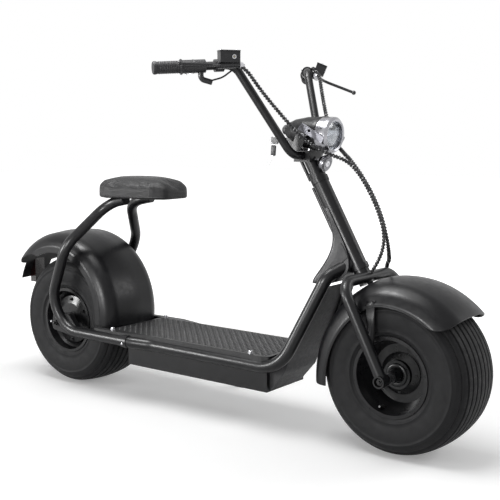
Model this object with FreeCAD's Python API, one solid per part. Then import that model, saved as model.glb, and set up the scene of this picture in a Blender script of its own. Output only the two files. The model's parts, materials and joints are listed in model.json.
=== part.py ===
import FreeCAD, Part
import math
import os

# An electric chopper scooter on two fat tyres, parked upright with its side stand down.
# Millimetres. +Z up, +X forward, +Y to the rider's left. Stations along the vehicle are
# measured from the rear axle while it is built, and save() moves the origin to the middle
# of its length, on the floor.

V = FreeCAD.Vector
SIDES = (-1, 1)

# Wheels
WHEELBASE = 1300.0
TYRE_OD = 457.0
TYRE_WIDTH = 225.0
TREAD_HALF = 45.0
RIM_OD = 230.0
RIM_WIDTH = 208.0
RIM_WALL = 4.0
TAIL_REACH = 301.5
AXLE_OD = 14.0
RUNNING_FIT = 0.05
SEAT_GAP = 0.3
WHEEL_GAP = 1.5

# Steering head, raked back from the axle line
HEAD_BOTTOM = V(1144.2, 0, 501.1)
HEAD_LENGTH = 299.0
HEAD_RAKE = 29.6
HEAD_OD = 49.0
CUP_OD = 54.0
CUP_LENGTH = 16.0
STEERER_OD = 30.0
STEM_OD = 40.0
STEM_TOP = HEAD_LENGTH + 90.0

# Frame tubes
RAIL_OD = 38.0
RAIL_HALF_FRONT = 120.0
RAIL_HALF_REAR = 148.0
RAIL_Z = 200.0
LOOP_OD = 36.0
JOINT_X = 325.0
SLEEVE_OD = 42.0
SLEEVE_LENGTH = 26.0

# Deck and battery
DECK_TOP = 232.0
DECK_THICKNESS = 3.0
DECK_REAR = 180.0
DECK_NOTCH = 246.0
DECK_FRONT = 905.0
BOX_REAR = 298.0
BOX_FRONT = 880.0
BOX_HALF = 98.0
BOX_BOTTOM = 113.0
BOX_TOP = 190.0
BOX_WALL = 2.5
BAR_WIDTH = 30.0
BAR_TOP = 210.0
BATTERY_SIZE = (420.0, 150.0, 62.0)

# Handlebar, fork and controls
BAR_OD = 24.0
BAR_BEND = 45.0
FORK_OD = 32.0
FORK_HALF = 145.0
FORK_BEND = 50.0
CROWN = V(1168.0, 0, 483.0)
BOSS_OD = 34.0
BOSS_END = 165.0
GRIP_OD = 34.0
GRIP_LENGTH = 105.0
HOSE_OD = 9.0

# Fenders
FENDER_WALL = 3.0
SKIRT_BEND = 18.0
SHOULDER_BEND = 50.0
CROWN_BEND = 65.0
CROWN_ARCH = 300.0
REAR_FENDER_CENTRE = V(-34.0, 0, 265.0)
REAR_FENDER_HALF = 130.0
FRONT_FENDER_CENTRE = V(1290.0, 0, 201.5)
FRONT_FENDER_HALF = 125.0
# each arc's radius, and the degrees above forward that it runs from and to
REAR_FENDER_ARCS = [(280.0, -7.0, 162.4)]
FRONT_FENDER_ARCS = [(299.0, 45.5, 93.0), (190.0, 93.0, 122.0), (323.0, 122.0, 184.0)]

# Seat
SEAT_REAR = 150.0
SEAT_FRONT = 444.0
SEAT_HALF_REAR = 118.0
SEAT_HALF_FRONT = 88.0
SEAT_SKIRT_Z = 672.0
SEAT_TOP = 742.0
PAN_TOP = 690.0
PAN_THICKNESS = 4.0
SEAT_SEAT_Z = PAN_TOP - PAN_THICKNESS

# Headlight
LAMP_FACE = V(1050.0, 0, 885.0)
LAMP_TILT = 5.5
BEZEL_OD = 106.0

AXLE_Z = TYRE_OD / 2
TYRE_R = TYRE_OD / 2
FRONT_AXLE = V(WHEELBASE, 0, AXLE_Z)
REAR_AXLE = V(0, 0, AXLE_Z)
MIDDLE_X = (WHEELBASE + TYRE_R - TAIL_REACH) / 2
RAKE = math.radians(HEAD_RAKE)
HEAD_UP = V(-math.sin(RAKE), 0, math.cos(RAKE))
HEAD_TOP = HEAD_BOTTOM + HEAD_UP * HEAD_LENGTH
FRONT_WAY = V(math.cos(RAKE), 0, math.sin(RAKE))


def save(name, *solids):
    """Write one node, moved so that the origin is at mid length on the floor."""
    flat = []
    for shape in solids:
        flat.extend(shape.Solids)
    shape = flat[0] if len(flat) == 1 else Part.makeCompound(flat)
    shape = shape.translated(V(-MIDDLE_X, 0, 0))
    shape.exportStep(os.path.join("parts", name + ".step"))


def mirrored(shape):
    """The same piece on the other side of the vehicle."""
    return shape.mirror(V(0, 0, 0), V(0, 1, 0))


def flip(points):
    """The same points on the other side of the vehicle."""
    return [V(p.x, -p.y, p.z) for p in points]


def outline(points):
    """A closed wire in the XY plane; a third number rounds that corner to its radius."""
    count = len(points)
    starts, ends, arcs = [], [], []
    for i, point in enumerate(points):
        corner = V(point[0], point[1], 0)
        radius = point[2] if len(point) > 2 else 0
        if not radius:
            starts.append(corner)
            ends.append(corner)
            arcs.append(None)
            continue
        before = (V(*points[i - 1][:2], 0) - corner).normalize()
        after = (V(*points[(i + 1) % count][:2], 0) - corner).normalize()
        half = before.getAngle(after) / 2
        reach = radius / math.tan(half)
        inward = (before + after).normalize()
        starts.append(corner + before * reach)
        ends.append(corner + after * reach)
        arcs.append(corner + inward * (radius / math.sin(half) - radius))
    edges = []
    for i in range(count):
        if arcs[i]:
            edges.append(Part.Arc(starts[i], arcs[i], ends[i]).toShape())
        following = starts[(i + 1) % count]
        if (following - ends[i]).Length > 1e-6:
            edges.append(Part.LineSegment(ends[i], following).toShape())
    return Part.Wire(edges)


def flat_plate(points, bottom, thickness):
    """A plate cut to an outline seen from above."""
    plate = Part.Face(outline(points)).extrude(V(0, 0, thickness))
    plate.translate(V(0, 0, bottom))
    return plate


def side_plate(points, start, thickness):
    """A plate cut to an outline of (x, z) points, standing from y = start to the left."""
    plate = Part.Face(outline(points)).extrude(V(0, 0, -thickness))
    plate.rotate(V(0, 0, 0), V(1, 0, 0), 90)
    plate.translate(V(0, start, 0))
    return plate


def turned(points, centre, axis):
    """A solid of revolution from (along, radius) points, its axis through the centre."""
    solid = Part.Face(outline(points)).revolve(V(0, 0, 0), V(1, 0, 0), 360)
    solid.Placement = FreeCAD.Placement(centre, FreeCAD.Rotation(V(1, 0, 0), axis))
    return solid


def rod(start, end, diameter):
    """A round bar between two points."""
    return Part.makeCylinder(diameter / 2, (end - start).Length, start, end - start)


def ring(start, end, outside, inside):
    """A round bar with a hole through it."""
    return rod(start, end, outside).cut(rod(start, end, inside))


def box(low, high):
    """A box between two corners."""
    size = high - low
    return Part.makeBox(size.x, size.y, size.z, low)


def bent_tube(points, bends, diameter):
    """A round tube along straight runs, each inner corner bent to its radius."""
    pieces = []
    start = points[0]
    for i, radius in enumerate(bends, 1):
        incoming = (points[i] - points[i - 1]).normalize()
        outgoing = (points[i + 1] - points[i]).normalize()
        turn = incoming.getAngle(outgoing)
        reach = radius * math.tan(turn / 2)
        bend_start = points[i] - incoming * reach
        axis = incoming.cross(outgoing).normalize()
        centre = bend_start + axis.cross(incoming) * radius
        pieces.append(rod(start, bend_start, diameter))
        circle = Part.makeCircle(diameter / 2, bend_start, incoming)
        section = Part.Face(Part.Wire([circle]))
        pieces.append(section.revolve(centre, axis, math.degrees(turn)))
        start = points[i] + outgoing * reach
    pieces.append(rod(start, points[-1], diameter))
    return pieces[0].multiFuse(pieces[1:])


def arched(section, centre, low, high):
    """A shell of (y, radius) points swept round the Y axis at the centre, from low to high
    degrees above the forward direction."""
    face = Part.Face(outline(section))
    face.rotate(V(0, 0, 0), V(0, 0, 1), -90)
    face.rotate(V(0, 0, 0), V(0, 1, 0), -low)
    shell = face.revolve(V(0, 0, 0), V(0, 1, 0), low - high)
    shell.translate(centre)
    return shell


def trimmed(shape, neighbours):
    """The main piece of a shape once its neighbours are cut out of it."""
    for neighbour in neighbours:
        shape = shape.cut(neighbour)
    return max(shape.Solids, key=lambda solid: solid.Volume)


def on_head(distance, ahead=0.0):
    """A point on the steering axis, measured up from the head's bottom."""
    return HEAD_BOTTOM + HEAD_UP * distance + FRONT_WAY * ahead


# Frame

RAIL_POINTS = [
    V(1122.0, -4.0, 522.0),
    V(1073.0, -70.0, 483.0),
    V(941.0, -RAIL_HALF_FRONT, RAIL_Z - 2),
    V(430.0, -RAIL_HALF_FRONT, RAIL_Z),
    V(352.0, -RAIL_HALF_REAR, RAIL_Z + 5),
    V(JOINT_X, -RAIL_HALF_REAR, RAIL_Z + 6),
]
RAIL_BENDS = [48.0, 110.0, 90.0, 90.0]

LOOP_POINTS = [
    V(JOINT_X, -RAIL_HALF_REAR, RAIL_Z + 6),
    V(-65.0, -148.0, RAIL_Z + 7),
    V(79.0, -174.0, 505.0),
    V(169.0, -53.0, 650.0),
    V(262.0, -63.0, SEAT_SEAT_Z - LOOP_OD / 2),
]
LOOP_BENDS = [110.0, 119.0, 95.0]
DROPOUT_THICKNESS = 8.0
DROPOUT_Y = 137.0

STEM_BORE = STEERER_OD + 2 * RUNNING_FIT
CONDUIT_OD = 12.0
CONDUIT_SET = -(HEAD_OD + CONDUIT_OD) / 2 - SEAT_GAP
CONDUIT_LOW = 110.0
CONDUIT_HIGH = HEAD_LENGTH - CUP_LENGTH - 1.0
CHEEK_THICKNESS = 2.0
NECK_SECTIONS = [
    # z, rear x, front x, half width
    (676.0, 1027.0, 1046.0, 27.0),
    (600.0, 1057.0, 1090.0, 29.0),
    (550.0, 1052.0, 1116.0, 33.0),
    (500.0, 1027.0, 1124.0, 43.0),
    (455.0, 1002.0, 1050.0, 48.0),
]
NECK_CORNER = 14.0
CHEEK_OUTLINE = [
    (1092.0, 583.0, 4.0), (1077.0, 531.0, 40.0), (1044.0, 482.0, 3.0), (1064.0, 488.0, 3.0),
    (1121.0, 540.0, 4.0),
]


def head_tube():
    bore = STEM_BORE / 2
    relief = bore + 3.0
    half = CUP_OD / 2
    body = HEAD_OD / 2
    top = HEAD_LENGTH
    profile = [
        (0, bore), (0, half), (CUP_LENGTH, half), (CUP_LENGTH, body),
        (top - CUP_LENGTH, body), (top - CUP_LENGTH, half), (top, half), (top, bore),
        (top - CUP_LENGTH, bore), (top - CUP_LENGTH, relief), (CUP_LENGTH, relief),
        (CUP_LENGTH, bore),
    ]
    return turned(profile, HEAD_BOTTOM, HEAD_UP)


def head_core():
    """What the welded pieces are mitred to: the head tube's outside, filled."""
    cup = rod(HEAD_BOTTOM, on_head(CUP_LENGTH), CUP_OD)
    upper = rod(on_head(HEAD_LENGTH - CUP_LENGTH), HEAD_TOP, CUP_OD)
    return rod(HEAD_BOTTOM, HEAD_TOP, HEAD_OD).multiFuse([cup, upper])


def rail():
    tube = bent_tube(RAIL_POINTS, RAIL_BENDS, RAIL_OD)
    end = RAIL_POINTS[-1]
    sleeve = rod(end, end + V(SLEEVE_LENGTH, 0, 0), SLEEVE_OD)
    keep_right = box(V(300, -400, 0), V(1300, -0.01, 700))
    return tube.fuse(sleeve).cut(head_core()).common(keep_right)


def dropout():
    """The plate on a loop's inner side that carries the rear axle."""
    bore = AXLE_OD / 2
    shape = side_plate(
        [(-26, 202, 12), (70, 190, 8), (120, 200, 8), (60, 262, 20), (-20, 262, 18)],
        DROPOUT_Y - DROPOUT_THICKNESS, DROPOUT_THICKNESS + 12)
    hole = rod(REAR_AXLE + V(0, 100, 0), REAR_AXLE + V(0, 200, 0), 2 * bore)
    return mirrored(shape.cut(hole))


def seat_loop(rail_tube):
    tube = bent_tube(LOOP_POINTS, LOOP_BENDS, LOOP_OD)
    return tube.fuse(dropout()).cut(rail_tube)


def neck_form(proud=0.0):
    """The neck's moulded form, lofted through its level sections, and its skin set out a little."""
    wires = []
    for z, rear, front, half in NECK_SECTIONS:
        half = half + proud
        rear = rear - proud
        wire = outline([(rear, half, NECK_CORNER), (rear, -half, NECK_CORNER), (front, -half),
                        (front, half)])
        wire.translate(V(0, 0, z))
        wires.append(wire)
    return Part.makeLoft(wires, True, False)


def neck_shell(rails):
    """The moulded cover that closes the corner between the head tube and the rails."""
    shell = trimmed(neck_form(), [head_core()] + rails)
    conduit = rod(on_head(CONDUIT_LOW, CONDUIT_SET), on_head(CONDUIT_HIGH, CONDUIT_SET),
                  CONDUIT_OD)
    return shell.fuse(conduit)


def neck_cheek(rails):
    """The grained panel on one side of the neck."""
    prism = side_plate(CHEEK_OUTLINE, 0, NECK_SECTIONS[-1][3] + CHEEK_THICKNESS)
    panel = neck_form(CHEEK_THICKNESS).common(prism)
    return trimmed(panel, [neck_form(), head_core()] + rails)


SHIELD_HALF = 84.0
SHIELD_THICKNESS = 3.0
SHIELD_LINE = [(1056.0, 446.0), (948.0, 213.0, 60.0), (936.0, 180.0, 50.0), (BOX_FRONT, 116.0)]

SHIELD_FLANK = [(BOX_FRONT, 117.0), (934.0, 179.0, 50.0), (946.0, 212.0), (BOX_FRONT, 196.0)]


def leg_shield(rails):
    """The sheet that closes the rails' up-run and curves back to the battery box, with the
    flanks that close the corner between the two."""
    thick = SHIELD_THICKNESS
    front = [SHIELD_LINE[0], SHIELD_LINE[1], SHIELD_LINE[2], SHIELD_LINE[3]]
    rear = [(x - thick, z + thick / 2, *bend) for x, z, *bend in front[:3]]
    rear.append((BOX_FRONT, SHIELD_LINE[3][1] + thick))
    plate = side_plate(front + rear[::-1], -SHIELD_HALF, 2 * SHIELD_HALF)
    flank = side_plate(SHIELD_FLANK, SHIELD_HALF - thick, thick)
    return trimmed(plate.multiFuse([flank, mirrored(flank)]), rails)


CROSS_BARS = (345.0, 600.0, 850.0)


def cross_member(x, rails):
    reach = RAIL_HALF_REAR
    bar = box(V(x - BAR_WIDTH / 2, -reach, BOX_TOP), V(x + BAR_WIDTH / 2, reach, BAR_TOP))
    return trimmed(bar, rails)


def deck_plate(tubes):
    edge = [
        (DECK_REAR, 150, 12), (330, 150, 60), (430, 126, 80), (800, 126, 80),
        (DECK_FRONT - 30, 132, 30), (DECK_FRONT, 118, 10),
    ]
    outer = edge + [(x, -y, r) for x, y, r in reversed(edge)]
    inset = 2.0
    inner = [(x, math.copysign(abs(y) - inset, y), max(r - inset, 1)) for x, y, r in outer]
    drop = DECK_TOP - DECK_THICKNESS
    plate = flat_plate(outer, drop, DECK_THICKNESS)
    skirt = flat_plate(outer, RAIL_Z + 8, drop - RAIL_Z - 8)
    skirt = skirt.cut(flat_plate(inner, RAIL_Z + 8, drop - RAIL_Z - 8))
    tray = plate.fuse(skirt)
    half = REAR_FENDER_HALF
    notch = box(V(0, -half, 0), V(DECK_NOTCH, half, DECK_TOP))
    return trimmed(tray, [notch] + tubes)


def battery_box():
    outside = box(V(BOX_REAR, -BOX_HALF, BOX_BOTTOM), V(BOX_FRONT, BOX_HALF, BOX_TOP))
    wall = V(BOX_WALL, BOX_WALL, BOX_WALL)
    hollow = box(V(BOX_REAR, -BOX_HALF, BOX_BOTTOM) + wall,
                 V(BOX_FRONT, BOX_HALF, BOX_TOP) - wall)
    return outside.cut(hollow)


def battery_pack():
    length, width, height = BATTERY_SIZE
    middle = (BOX_REAR + BOX_FRONT) / 2
    floor = BOX_BOTTOM + BOX_WALL
    return box(V(middle - length / 2, -width / 2, floor),
               V(middle + length / 2, width / 2, floor + height))


# Seat

def seat_edge(inset):
    """The seat seen from above, smaller all round by the inset."""
    rear = SEAT_REAR + inset
    front = SEAT_FRONT - inset
    wide = SEAT_HALF_REAR - inset
    narrow = SEAT_HALF_FRONT - inset
    half = [
        (rear, wide - 24, 40), (rear + 60, wide, 60), (rear + 150, wide - 10, 120),
        (front - 50, narrow, 50), (front, narrow - 32, 36),
    ]
    return half + [(x, -y, r) for x, y, r in reversed(half)]


def seat_pan():
    return flat_plate(seat_edge(16.0), PAN_TOP - PAN_THICKNESS, PAN_THICKNESS)


def seat_pad():
    clearance = SEAT_GAP
    outer = flat_plate(seat_edge(0), SEAT_SKIRT_Z, SEAT_TOP - SEAT_SKIRT_Z)
    top_edges = [e for e in outer.Edges if e.BoundBox.ZMin > SEAT_TOP - 1]
    outer = outer.makeChamfer(18.0, top_edges)
    hollow = flat_plate(seat_edge(14.0), SEAT_SKIRT_Z, PAN_TOP + clearance - SEAT_SKIRT_Z)
    return outer.cut(hollow)


# Fenders

def fender_section(half, radius, skirt, drop, inset):
    """One side's skirt and crown, inward to the wheel's middle plane, as (y, radius, bend)
    points, all set in from the outer skin."""
    half = half - inset
    radius = radius - inset
    return [(half, radius - skirt + inset), (half, radius - drop - 52, SKIRT_BEND - inset),
            (half - 12, radius - drop - 24, SHOULDER_BEND - inset),
            (half - 40, radius - drop / 2 - 8, CROWN_BEND - inset),
            (0, radius, CROWN_ARCH - inset)]


def fender_shell(half, skirt, drop, centre, arcs):
    """A fender along arcs that run smoothly into each other."""
    wall = FENDER_WALL
    pieces = []
    middle = centre
    for i, (radius, low, high) in enumerate(arcs):
        if i:
            start = math.radians(low)
            way = V(math.cos(start), 0, math.sin(start))
            middle = middle + way * (arcs[i - 1][0] - radius)
        outer = fender_section(half, radius, skirt, drop, 0)
        inner = fender_section(half, radius, skirt, drop, wall)
        points = outer + [(-y, *r) for y, *r in reversed(outer[:-1])]
        points += [(-y, *r) for y, *r in inner] + list(reversed(inner[:-1]))
        pieces.append(arched(points, middle, low, high))
    return pieces[0].multiFuse(pieces[1:]) if len(pieces) > 1 else pieces[0]


def rear_fender():
    shell = fender_shell(REAR_FENDER_HALF, 75.0, 0.0, REAR_FENDER_CENTRE, REAR_FENDER_ARCS)
    floor = box(V(-400, -200, 0), V(400, 200, DECK_TOP - DECK_THICKNESS))
    taper = side_plate([(-400, 300), (-240, 430, 40), (-90, 478, 60), (-90, 200), (-400, 200)],
                       -200, 400)
    inner = box(V(-400, -60, 0), V(400, 60, 700))
    return shell.cut(floor).cut(taper.cut(inner))


def front_fender(legs):
    shell = fender_shell(FRONT_FENDER_HALF, 73.0, 14.0, FRONT_FENDER_CENTRE, FRONT_FENDER_ARCS)
    stay = side_plate([(1236, 440), (1262, 440), (1262, 322), (1234, 322)],
                      FRONT_FENDER_HALF - FENDER_WALL, FENDER_WALL)
    low = V(1246, FRONT_FENDER_HALF - FENDER_WALL, 336)
    boss = rod(low, V(low.x, FORK_HALF, low.z), 14)
    stud = rod(CROWN, CROWN - V(-9, 0, 20), 16)
    whole = shell.multiFuse([stay, mirrored(stay), boss, mirrored(boss), stud])
    return trimmed(whole, [legs])


def tail_lamp(fender):
    """The lamp block under the fender's tail."""
    return trimmed(box(V(-290, -22, 330), V(-262, 22, 420)), [fender])


# Wheels

def tyre(axle):
    half = TYRE_WIDTH / 2
    bead = RIM_OD / 2 - 6
    side = [(-94, bead), (-half, bead + 62), (-half + 7, TYRE_R - 28), (-half + 32, TYRE_R - 7.5),
            (-TREAD_HALF, TYRE_R)]
    profile = side + [(-x, r) for x, r in reversed(side)]
    return turned(profile, axle, V(0, 1, 0))


FRONT_WEB_Y = -36.0
WEB_THICKNESS = 6.0
WELL_R = 84.0
FRONT_WELL = [
    (40.0, WELL_R), (FRONT_WEB_Y + WEB_THICKNESS, WELL_R), (FRONT_WEB_Y + WEB_THICKNESS, 30.0),
    (FRONT_WEB_Y, 30.0), (FRONT_WEB_Y, WELL_R),
]
REAR_WELL = [(60.0, WELL_R), (-60.0, WELL_R)]


def rim(axle, well):
    """A rim whose inside is closed by the well's (along, radius) points."""
    half = RIM_WIDTH / 2
    lip = RIM_OD / 2
    seat = lip - 6 - SEAT_GAP
    bore = lip - 14
    edge = [
        (-half, bore + 4), (-half, lip), (-half + 5, lip), (-half + 9.5, seat),
        (half - 9.5, seat), (half - 5, lip), (half, lip), (half, bore + 4),
        (half - 26, bore),
    ]
    return turned(edge + well + [(-half + 26, bore)], axle, V(0, 1, 0))


DISC_R = 70.0
DISC_Y = 88.0
DISC_THICKNESS = 3.0
HUB_HALF = 100.0
SPACER_END = 128.0
SPACER_OD = 26.0


def front_hub():
    bore = AXLE_OD / 2 + RUNNING_FIT
    web = FRONT_WEB_Y
    profile = [
        (-HUB_HALF, bore), (-HUB_HALF, 17), (web - 26, 20), (web - 26, 41), (web - 14, 41),
        (web - 4, 60), (web, 60), (web, 30), (web + 6, 30), (web + 6, 24),
        (DISC_Y - 8, 24), (DISC_Y - 8, 34), (DISC_Y, 34), (DISC_Y, 17),
        (HUB_HALF, 17), (HUB_HALF, bore),
    ]
    return turned(profile, FRONT_AXLE, V(0, 1, 0))


def brake_disc(axle):
    half = DISC_R
    disc = turned([(DISC_Y, 17 + SEAT_GAP), (DISC_Y, half), (DISC_Y + DISC_THICKNESS, half),
                   (DISC_Y + DISC_THICKNESS, 17 + SEAT_GAP)], axle, V(0, 1, 0))
    windows = []
    for step in range(6):
        middle = axle + V(0, 0, 42)
        window = rod(middle + V(0, DISC_Y - 1, 0), middle + V(0, DISC_Y + 5, 0), 22)
        window.rotate(axle, V(0, 1, 0), 60 * step)
        windows.append(window)
    return disc.cut(Part.makeCompound(windows))


def rear_hub_motor():
    bore = AXLE_OD / 2 + RUNNING_FIT
    cover = 84.0
    drum = 84.0 - SEAT_GAP
    profile = [
        (-cover - 12, bore), (-cover - 12, 24), (-cover, 26), (-cover, 58), (-cover + 8, drum),
        (cover - 24, drum), (cover - 14, 58), (cover - 14, 34), (DISC_Y, 34),
        (DISC_Y, 17), (cover + 12, 17), (cover + 12, bore),
    ]
    return turned(profile, REAR_AXLE, V(0, 1, 0))


def axle_shaft(axle, half):
    """An axle with a spacer at each side of the wheel."""
    shaft = rod(axle - V(0, half, 0), axle + V(0, half, 0), AXLE_OD)
    spacers = []
    for side in SIDES:
        spacers.append(rod(axle + V(0, side * (HUB_HALF + WHEEL_GAP), 0),
                           axle + V(0, side * SPACER_END, 0), SPACER_OD))
    return shaft.multiFuse(spacers)


# Front end

def steering_stem():
    """The steerer in the head tube and the stem that carries the bar clamp."""
    gap = 0.6
    low = on_head(-24.0)
    collar = rod(on_head(HEAD_LENGTH + gap), on_head(HEAD_LENGTH + gap + 20), CUP_OD - 6)
    steerer = rod(low, on_head(HEAD_LENGTH + 8), STEERER_OD)
    stem = rod(on_head(HEAD_LENGTH + gap), on_head(STEM_TOP), STEM_OD)
    return trimmed(steerer.multiFuse([collar, stem]), [clamp_block()])


def fork():
    """Both legs and the crown in one bent tube, with the steerer's lug and the axle bosses."""
    leg = [V(FRONT_AXLE.x, -FORK_HALF, FRONT_AXLE.z), V(CROWN.x, -FORK_HALF, CROWN.z)]
    points = leg + flip(reversed(leg))
    tube = bent_tube(points, [FORK_BEND, FORK_BEND], FORK_OD)
    lug = rod(on_head(-0.6), on_head(-44.0), 46)
    bosses = []
    for side in SIDES:
        bosses.append(rod(FRONT_AXLE + V(0, side * 128, 0),
                          FRONT_AXLE + V(0, side * BOSS_END, 0), BOSS_OD))
    body = tube.multiFuse([lug] + bosses)
    steerer = rod(on_head(-24.0), on_head(20), STEERER_OD)
    bore = rod(FRONT_AXLE - V(0, 200, 0), FRONT_AXLE + V(0, 200, 0), AXLE_OD)
    pockets = []
    for side in SIDES:
        pockets.append(rod(FRONT_AXLE + V(0, side * 146, 0),
                           FRONT_AXLE + V(0, side * 200, 0), 26))
    return body.cut(steerer.multiFuse([bore] + pockets))


CLAMP_HALF = 28.0
CLAMP_WIDTH = 60.0
CLAMP_DEPTH = 18.0
BAR_HALF = [V(695, -379, 1072), V(827, -186, 1085), V(955, -78, 826)]
BAR_MIDDLE = V(BAR_HALF[2].x, 0, BAR_HALF[2].z)
CLAMP_TOP = BAR_MIDDLE.z + BAR_OD / 2 + 3.0


def handlebar():
    points = BAR_HALF + flip(reversed(BAR_HALF))
    return bent_tube(points, [BAR_BEND] * 4, BAR_OD)


def clamp_block():
    low = BAR_MIDDLE - V(CLAMP_HALF, CLAMP_WIDTH / 2, CLAMP_DEPTH)
    return box(low, V(BAR_MIDDLE.x + CLAMP_HALF, CLAMP_WIDTH / 2, CLAMP_TOP))


def bar_clamp():
    """The block on the stem that grips the handlebar's middle."""
    bar = rod(BAR_MIDDLE - V(0, 60, 0), BAR_MIDDLE + V(0, 60, 0), BAR_OD)
    return clamp_block().cut(bar)


GRIP_LENGTHS = {-1: 80.0, 1: 118.0}
GRIP_CAP = 3.0
THROTTLE_LENGTH = 67.0
THROTTLE_OD = 38.0
BOOT_OD = 16.0
CABLE_OD = 5.0
PERCH_FROM_END = 188.0
PERCH_HALF = 13.0
CYLINDER_AHEAD = 34.0
CYLINDER_OD = 22.0
LEVER_AHEAD = 62.0
LEVER_OD = 9.0
GRIP_WAY = (BAR_HALF[0] - BAR_HALF[1]).normalize()
AHEAD = V(-GRIP_WAY.y, GRIP_WAY.x, 0).normalize()


def on_grip(from_end, ahead=0.0, up=0.0):
    """A point beside the right end of the bar, measured inward from that end."""
    return BAR_HALF[0] - GRIP_WAY * from_end + AHEAD * ahead + V(0, 0, up)


def bar_end():
    """The straight end of the bar that the controls are clamped to."""
    return rod(BAR_HALF[0], BAR_HALF[1], BAR_OD)


def grip(side):
    sleeve = ring(on_grip(GRIP_LENGTHS[side]), on_grip(-GRIP_CAP), GRIP_OD, BAR_OD)
    whole = sleeve.fuse(rod(on_grip(0), on_grip(-GRIP_CAP), BAR_OD))
    return mirrored(whole) if side > 0 else whole


def throttle_housing():
    """The twist grip's housing, with the boot under it that the cable leaves by."""
    start = GRIP_LENGTHS[-1]
    end = start + THROTTLE_LENGTH
    body = rod(on_grip(start), on_grip(end), THROTTLE_OD)
    boot = bent_tube([on_grip(end - 12), on_grip(end - 12, 0, -36), on_grip(end + 20, 0, -46)],
                     [14.0], BOOT_OD)
    cable = bent_tube([on_grip(end + 10, 0, -43), on_grip(end + 52, 0, -34), on_grip(236, 6, -8)],
                      [60.0], CABLE_OD)
    return body.multiFuse([boot, cable]).cut(handlebar())


LEVER_TIPS = {-1: (58.0, 62.0, 6.0), 1: (161.0, 163.0, 0.0)}
CONTROL_TILT = {-1: 0.0, 1: -22.0}


def brake_control(side):
    """The perch with its master cylinder and box reservoir, and the lever in one piece."""
    base = on_grip(PERCH_FROM_END)
    middle = on_grip(PERCH_FROM_END, CYLINDER_AHEAD)
    perch = rod(on_grip(PERCH_FROM_END - PERCH_HALF), on_grip(PERCH_FROM_END + PERCH_HALF), 36)
    arm = rod(base, middle, CYLINDER_OD)
    cylinder = rod(on_grip(PERCH_FROM_END - 14, CYLINDER_AHEAD),
                   on_grip(PERCH_FROM_END + 50, CYLINDER_AHEAD), CYLINDER_OD)
    reservoir = box(V(-48, -14, 6), V(10, 18, 38))
    turn = FreeCAD.Rotation(V(1, 0, 0), V(GRIP_WAY.x, GRIP_WAY.y, 0))
    reservoir.Placement = FreeCAD.Placement(middle, turn)
    tip = on_grip(*LEVER_TIPS[side])
    blade = bent_tube([on_grip(PERCH_FROM_END - 2, CYLINDER_AHEAD + 4),
                       on_grip(PERCH_FROM_END - 42, LEVER_AHEAD), tip], [30.0], LEVER_OD)
    whole = perch.multiFuse([arm, cylinder, reservoir, blade, Part.makeSphere(7, tip)])
    whole.rotate(base, GRIP_WAY, CONTROL_TILT[side])
    whole = trimmed(whole, [bar_end()])
    return mirrored(whole) if side > 0 else whole


# Headlight, horn and lock

def lamp_way():
    tilt = math.radians(LAMP_TILT)
    return V(-math.cos(tilt), 0, math.sin(tilt))


def headlight_shell():
    profile = [(40, 0), (40, 49), (52, 50), (95, 45), (135, 35), (162, 22), (177, 0)]
    return turned(profile, LAMP_FACE, lamp_way())


def headlight_bezel():
    half = BEZEL_OD / 2
    profile = [(0, 41), (-2, 47), (4, half), (14, half), (40, half - 2), (40, 41)]
    return turned(profile, LAMP_FACE, lamp_way())


def headlight_lens():
    profile = [(6, 0), (9, 41 - SEAT_GAP), (40, 41 - SEAT_GAP), (40, 0)]
    return turned(profile, LAMP_FACE, lamp_way())


STRAP_THICKNESS = 3.0
STRAP = [
    (932.0, CLAMP_TOP), (966.0, CLAMP_TOP), (990.0, 889.0, 10.0), (1040.0, 862.0, 5.0),
    (1050.0, 880.0, 5.0), (972.0, 923.0, 6.0), (960.0, 905.0, 6.0),
]


def headlight_bracket():
    """The strap on the clamp that holds the lamp by its sides."""
    inside = BEZEL_OD / 2 + 1
    outside = inside + STRAP_THICKNESS
    base = box(V(932, -outside, CLAMP_TOP), V(966, outside, CLAMP_TOP + STRAP_THICKNESS))
    ear = side_plate(STRAP, inside, STRAP_THICKNESS)
    ear = ear.cut(rod(V(998, inside, 899), V(998, outside, 899), 9))
    pins = rod(V(975, -outside, 884), V(975, outside, 884), 10)
    whole = base.multiFuse([ear, mirrored(ear), pins])
    return whole.cut(headlight_shell())


def horn():
    way = V(-0.94, 0, 0.34)
    face = V(1024, 0, 803)
    disc = turned([(0, 0), (-3, 18), (0, 24), (10, 25), (22, 16), (22, 0)], face, way)
    arm = box(V(BAR_MIDDLE.x + 22, -8, 814), V(1012, 8, 818))
    return trimmed(disc.fuse(arm), [steering_stem(), bar_clamp()])


def ignition_lock():
    """The lock's housing behind the clamp, with the key in it and its spare on the ring."""
    housing = box(V(890, -13, CLAMP_TOP + 3), V(948, 13, 886)).cut(headlight_shell())
    housing = min(housing.Solids, key=lambda solid: solid.CenterOfMass.z)
    barrel = rod(V(874, 0, 868), V(890, 0, 868), 20)
    blade = box(V(846, -1.2, 864), V(874, 1.2, 872))
    head = side_plate([(824, 858, 6), (848, 858, 6), (848, 880, 6), (824, 880, 6)], -3, 6)
    return trimmed(housing.multiFuse([barrel, blade, head]), [headlight_shell()])


# Hoses and wiring

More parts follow.
